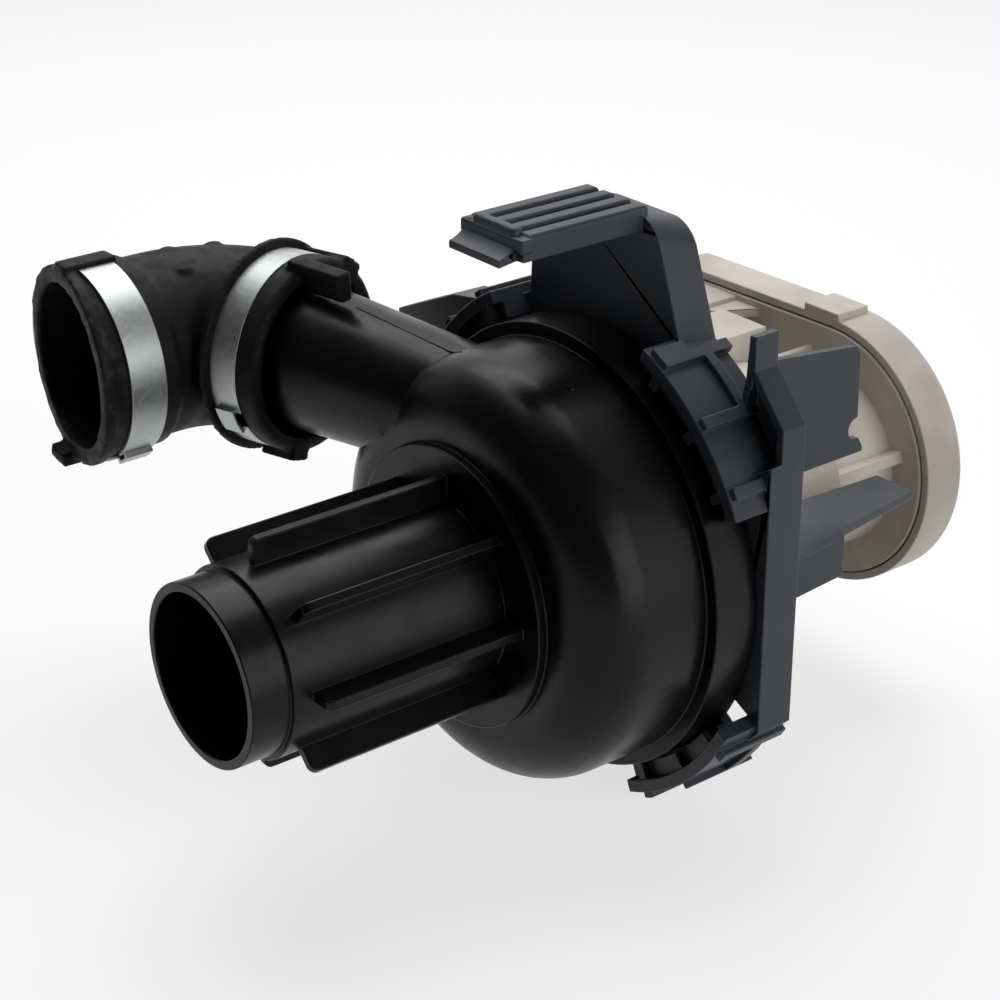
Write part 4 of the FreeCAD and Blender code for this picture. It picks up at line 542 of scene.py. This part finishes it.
class DressMarks(bpy.types.Operator):
    """Make the mould's marks on the volute: the outlet's parting line and the drum's gate mark"""

    bl_idname = "pump.marks"
    bl_label = "Mould marks"

    def execute(self, context):
        skin = skin_of("pump_cover")
        down = Vector((0, 0, -1))
        points = [skin.ray_cast(PARTING_FROM.lerp(PARTING_TO, step / PARTING_STEPS), down)[0]
                  for step in range(PARTING_STEPS + 1)]
        if None in points:
            raise RuntimeError("the outlet's top has a gap under the parting line")
        mark_piece(thin_bead(points, PARTING_RADIUS), "outlet_parting_line", "pump_cover")

        outward = Vector((math.cos(math.radians(GATE_ANGLE)), 0.0, math.sin(math.radians(GATE_ANGLE))))
        spot, normal, _, _ = skin.ray_cast(outward * LOOK_FROM + Vector((0, GATE_Y, 0)), -outward)
        if spot is None:
            raise RuntimeError("the drum has no skin under the gate mark")
        work = bmesh.new()
        bmesh.ops.create_cone(work, cap_ends=True, segments=20, radius1=GATE_FOOT, radius2=GATE_TOP,
                              depth=GATE_DEPTH, matrix=facing(spot, normal))
        mark_piece(work, "gate_mark", "pump_cover")
        return {"FINISHED"}


class DressElbow(bpy.types.Operator):
    """Make the rubber elbow"""

    bl_idname = "pump.elbow"
    bl_label = "Elbow"

    def execute(self, context):
        soft_piece("outlet_elbow", context.scene.pump_sizes.soft_grain)
        return {"FINISHED"}


class DressBands(bpy.types.Operator):
    """Make the two steel bands"""

    bl_idname = "pump.bands"
    bl_label = "Bands"

    def execute(self, context):
        for node in ("neck_clamp", "mouth_clamp"):
            hard_piece(node, context.scene.pump_sizes.steel_edge)
        return {"FINISHED"}


class DressBracket(bpy.types.Operator):
    """Make the grey bracket with its clips, fins and top arm"""

    bl_idname = "pump.bracket"
    bl_label = "Bracket"

    def execute(self, context):
        hard_piece("motor_bracket", context.scene.pump_sizes.bracket_edge)
        return {"FINISHED"}


class DressMotor(bpy.types.Operator):
    """Make the cream housing and its end cap"""

    bl_idname = "pump.motor"
    bl_label = "Motor"

    def execute(self, context):
        for node in ("motor_housing", "end_cap"):
            hard_piece(node, context.scene.pump_sizes.hard_edge)
        return {"FINISHED"}


class DressInside(bpy.types.Operator):
    """Give every piece that keeps its CAD shape its finish"""

    bl_idname = "pump.inside"
    bl_label = "Inner pieces and screws"

    def execute(self, context):
        dress([node for node in frame["nodes"] if node not in REMADE])
        return {"FINISHED"}


def make_camera():
    """The camera at the photograph's viewing angle"""
    data = bpy.data.cameras.new("camera")
    data.lens = CAMERA_LENS
    data.clip_start = CAMERA_CLIP
    camera = bpy.data.objects.new("camera", data)
    turn = Matrix.Rotation(math.radians(CAMERA_AZIMUTH), 4, "Z")
    tilt = Matrix.Rotation(math.radians(90 - CAMERA_ELEVATION), 4, "X")
    roll = Matrix.Rotation(math.radians(CAMERA_ROLL), 4, "Z")
    camera.matrix_world = Matrix.Translation(CAMERA_PLACE) @ turn @ tilt @ roll
    bpy.context.scene.collection.objects.link(camera)
    bpy.context.scene.camera = camera


def make_lamp(name, place, size, power):
    """A soft square lamp that faces the pump"""
    data = bpy.data.lights.new(name, "AREA")
    data.size = size
    data.energy = power
    lamp = bpy.data.objects.new(name, data)
    lamp.location = place
    aim = LAMP_TARGET - Vector(place)
    lamp.rotation_euler = aim.to_track_quat("-Z", "Y").to_euler()
    bpy.context.scene.collection.objects.link(lamp)


def seen_share(tree):
    """1 for rays that show the background itself: camera, glossy and transmission rays"""
    path = tree.nodes.new("ShaderNodeLightPath")
    total = path.outputs["Is Camera Ray"]
    for name in ("Is Glossy Ray", "Is Transmission Ray"):
        join = tree.nodes.new("ShaderNodeMath")
        join.operation = "ADD"
        join.use_clamp = True
        tree.links.new(total, join.inputs[0])
        tree.links.new(path.outputs[name], join.inputs[1])
        total = join.outputs[0]
    return total


def make_world(fill):
    """A white surround with a dark side behind the camera: it lights the pump softly"""
    world = bpy.data.worlds.new("surround")
    world.use_nodes = True
    tree = world.node_tree
    back = tree.nodes["Background"]
    place = tree.nodes.new("ShaderNodeTexCoord").outputs["Object"]
    towards = tree.nodes.new("ShaderNodeVectorMath")
    towards.operation = "DOT_PRODUCT"
    towards.inputs[1].default_value = DARK_SIDE
    tree.links.new(place, towards.inputs[0])
    shade = tree.nodes.new("ShaderNodeMapRange")
    shade.interpolation_type = "SMOOTHSTEP"
    shade.inputs["From Min"].default_value = WHITE_UNTIL
    shade.inputs["From Max"].default_value = DARK_FROM
    shade.inputs["To Min"].default_value = 1.0
    shade.inputs["To Max"].default_value = DARK_LEVEL
    tree.links.new(towards.outputs["Value"], shade.inputs["Value"])
    tree.links.new(shade.outputs[0], back.inputs["Color"])
    level = tree.nodes.new("ShaderNodeMapRange")
    level.inputs["To Min"].default_value = fill
    level.inputs["To Max"].default_value = 1.0
    tree.links.new(seen_share(tree), level.inputs["Value"])
    tree.links.new(level.outputs[0], back.inputs["Strength"])
    bpy.context.scene.world = world


def make_floor(reach, colour, lift):
    """A plain pale floor that keeps the pump's shadow"""
    work = bmesh.new()
    bmesh.ops.create_grid(work, x_segments=2, y_segments=2, size=reach)
    bmesh.ops.translate(work, verts=work.verts, vec=(0, 0, CAD_BOX[0].z))
    mesh = bpy.data.meshes.new("floor")
    work.to_mesh(mesh)
    work.free()
    floor = bpy.data.objects.new("floor", mesh)
    bpy.context.scene.collection.objects.link(floor)
    paint = Finish("floor_paint")
    tone = paint.blend(paint.noise(0.4, 2.0), scaled(colour, 0.99), colour)
    paint.finish(tone, 0.8, Specular_IOR_Level=0.1, Emission_Color=(1.0, 1.0, 1.0))
    glow = paint.reckon("MULTIPLY", seen_share(paint.material.node_tree), lift)
    paint.put(paint.shader.inputs["Emission Strength"], glow)
    mesh.materials.append(paint.material)


class MakeStudio(bpy.types.Operator):
    """Make the camera, the lamps, the surround and the floor"""

    bl_idname = "pump.studio"
    bl_label = "Studio"

    def execute(self, context):
        make_camera()
        make_world(SURROUND_FILL)
        for name, place, size, power in LAMPS:
            make_lamp(name, place, size, power)
        make_floor(context.scene.pump_sizes.floor_reach, tuple(context.scene.pump_colours.floor), FLOOR_LIFT)
        context.scene.view_settings.view_transform = "Standard"
        return {"FINISHED"}


class PumpPanel(bpy.types.Panel):
    """The sidebar panel that lists the pump's sizes, colours and steps"""

    bl_idname = "VIEW3D_PT_pump"
    bl_label = "Wash pump"
    bl_space_type = "VIEW_3D"
    bl_region_type = "UI"
    bl_category = "Pump"

    def draw(self, context):
        for group in (context.scene.pump_sizes, context.scene.pump_colours):
            for name in group.bl_rna.properties.keys():
                if name not in ("rna_type", "name"):
                    self.layout.prop(group, name)
        for step in STEPS:
            self.layout.operator(step.bl_idname)


STEPS = (MakeStudio, DressCover, DressMarks, DressElbow, DressBands, DressBracket, DressMotor, DressInside)
CLASSES = (PumpSizes, PumpColours, PumpPanel) + STEPS


def register():
    """Register the classes and hang the two groups of settings on the scene"""
    for cls in CLASSES:
        bpy.utils.register_class(cls)
    bpy.types.Scene.pump_sizes = bpy.props.PointerProperty(type=PumpSizes)
    bpy.types.Scene.pump_colours = bpy.props.PointerProperty(type=PumpColours)


def unregister():
    """Take the settings and the classes away again"""
    del bpy.types.Scene.pump_colours
    del bpy.types.Scene.pump_sizes
    for cls in reversed(CLASSES):
        bpy.utils.unregister_class(cls)


def main():
    """Make the studio and the pieces in order"""
    register()
    bpy.ops.pump.studio()
    bpy.ops.pump.cover()
    bpy.ops.pump.marks()
    bpy.ops.pump.elbow()
    bpy.ops.pump.bands()
    bpy.ops.pump.bracket()
    bpy.ops.pump.motor()
    bpy.ops.pump.inside()


if __name__ == "__main__":
    main()
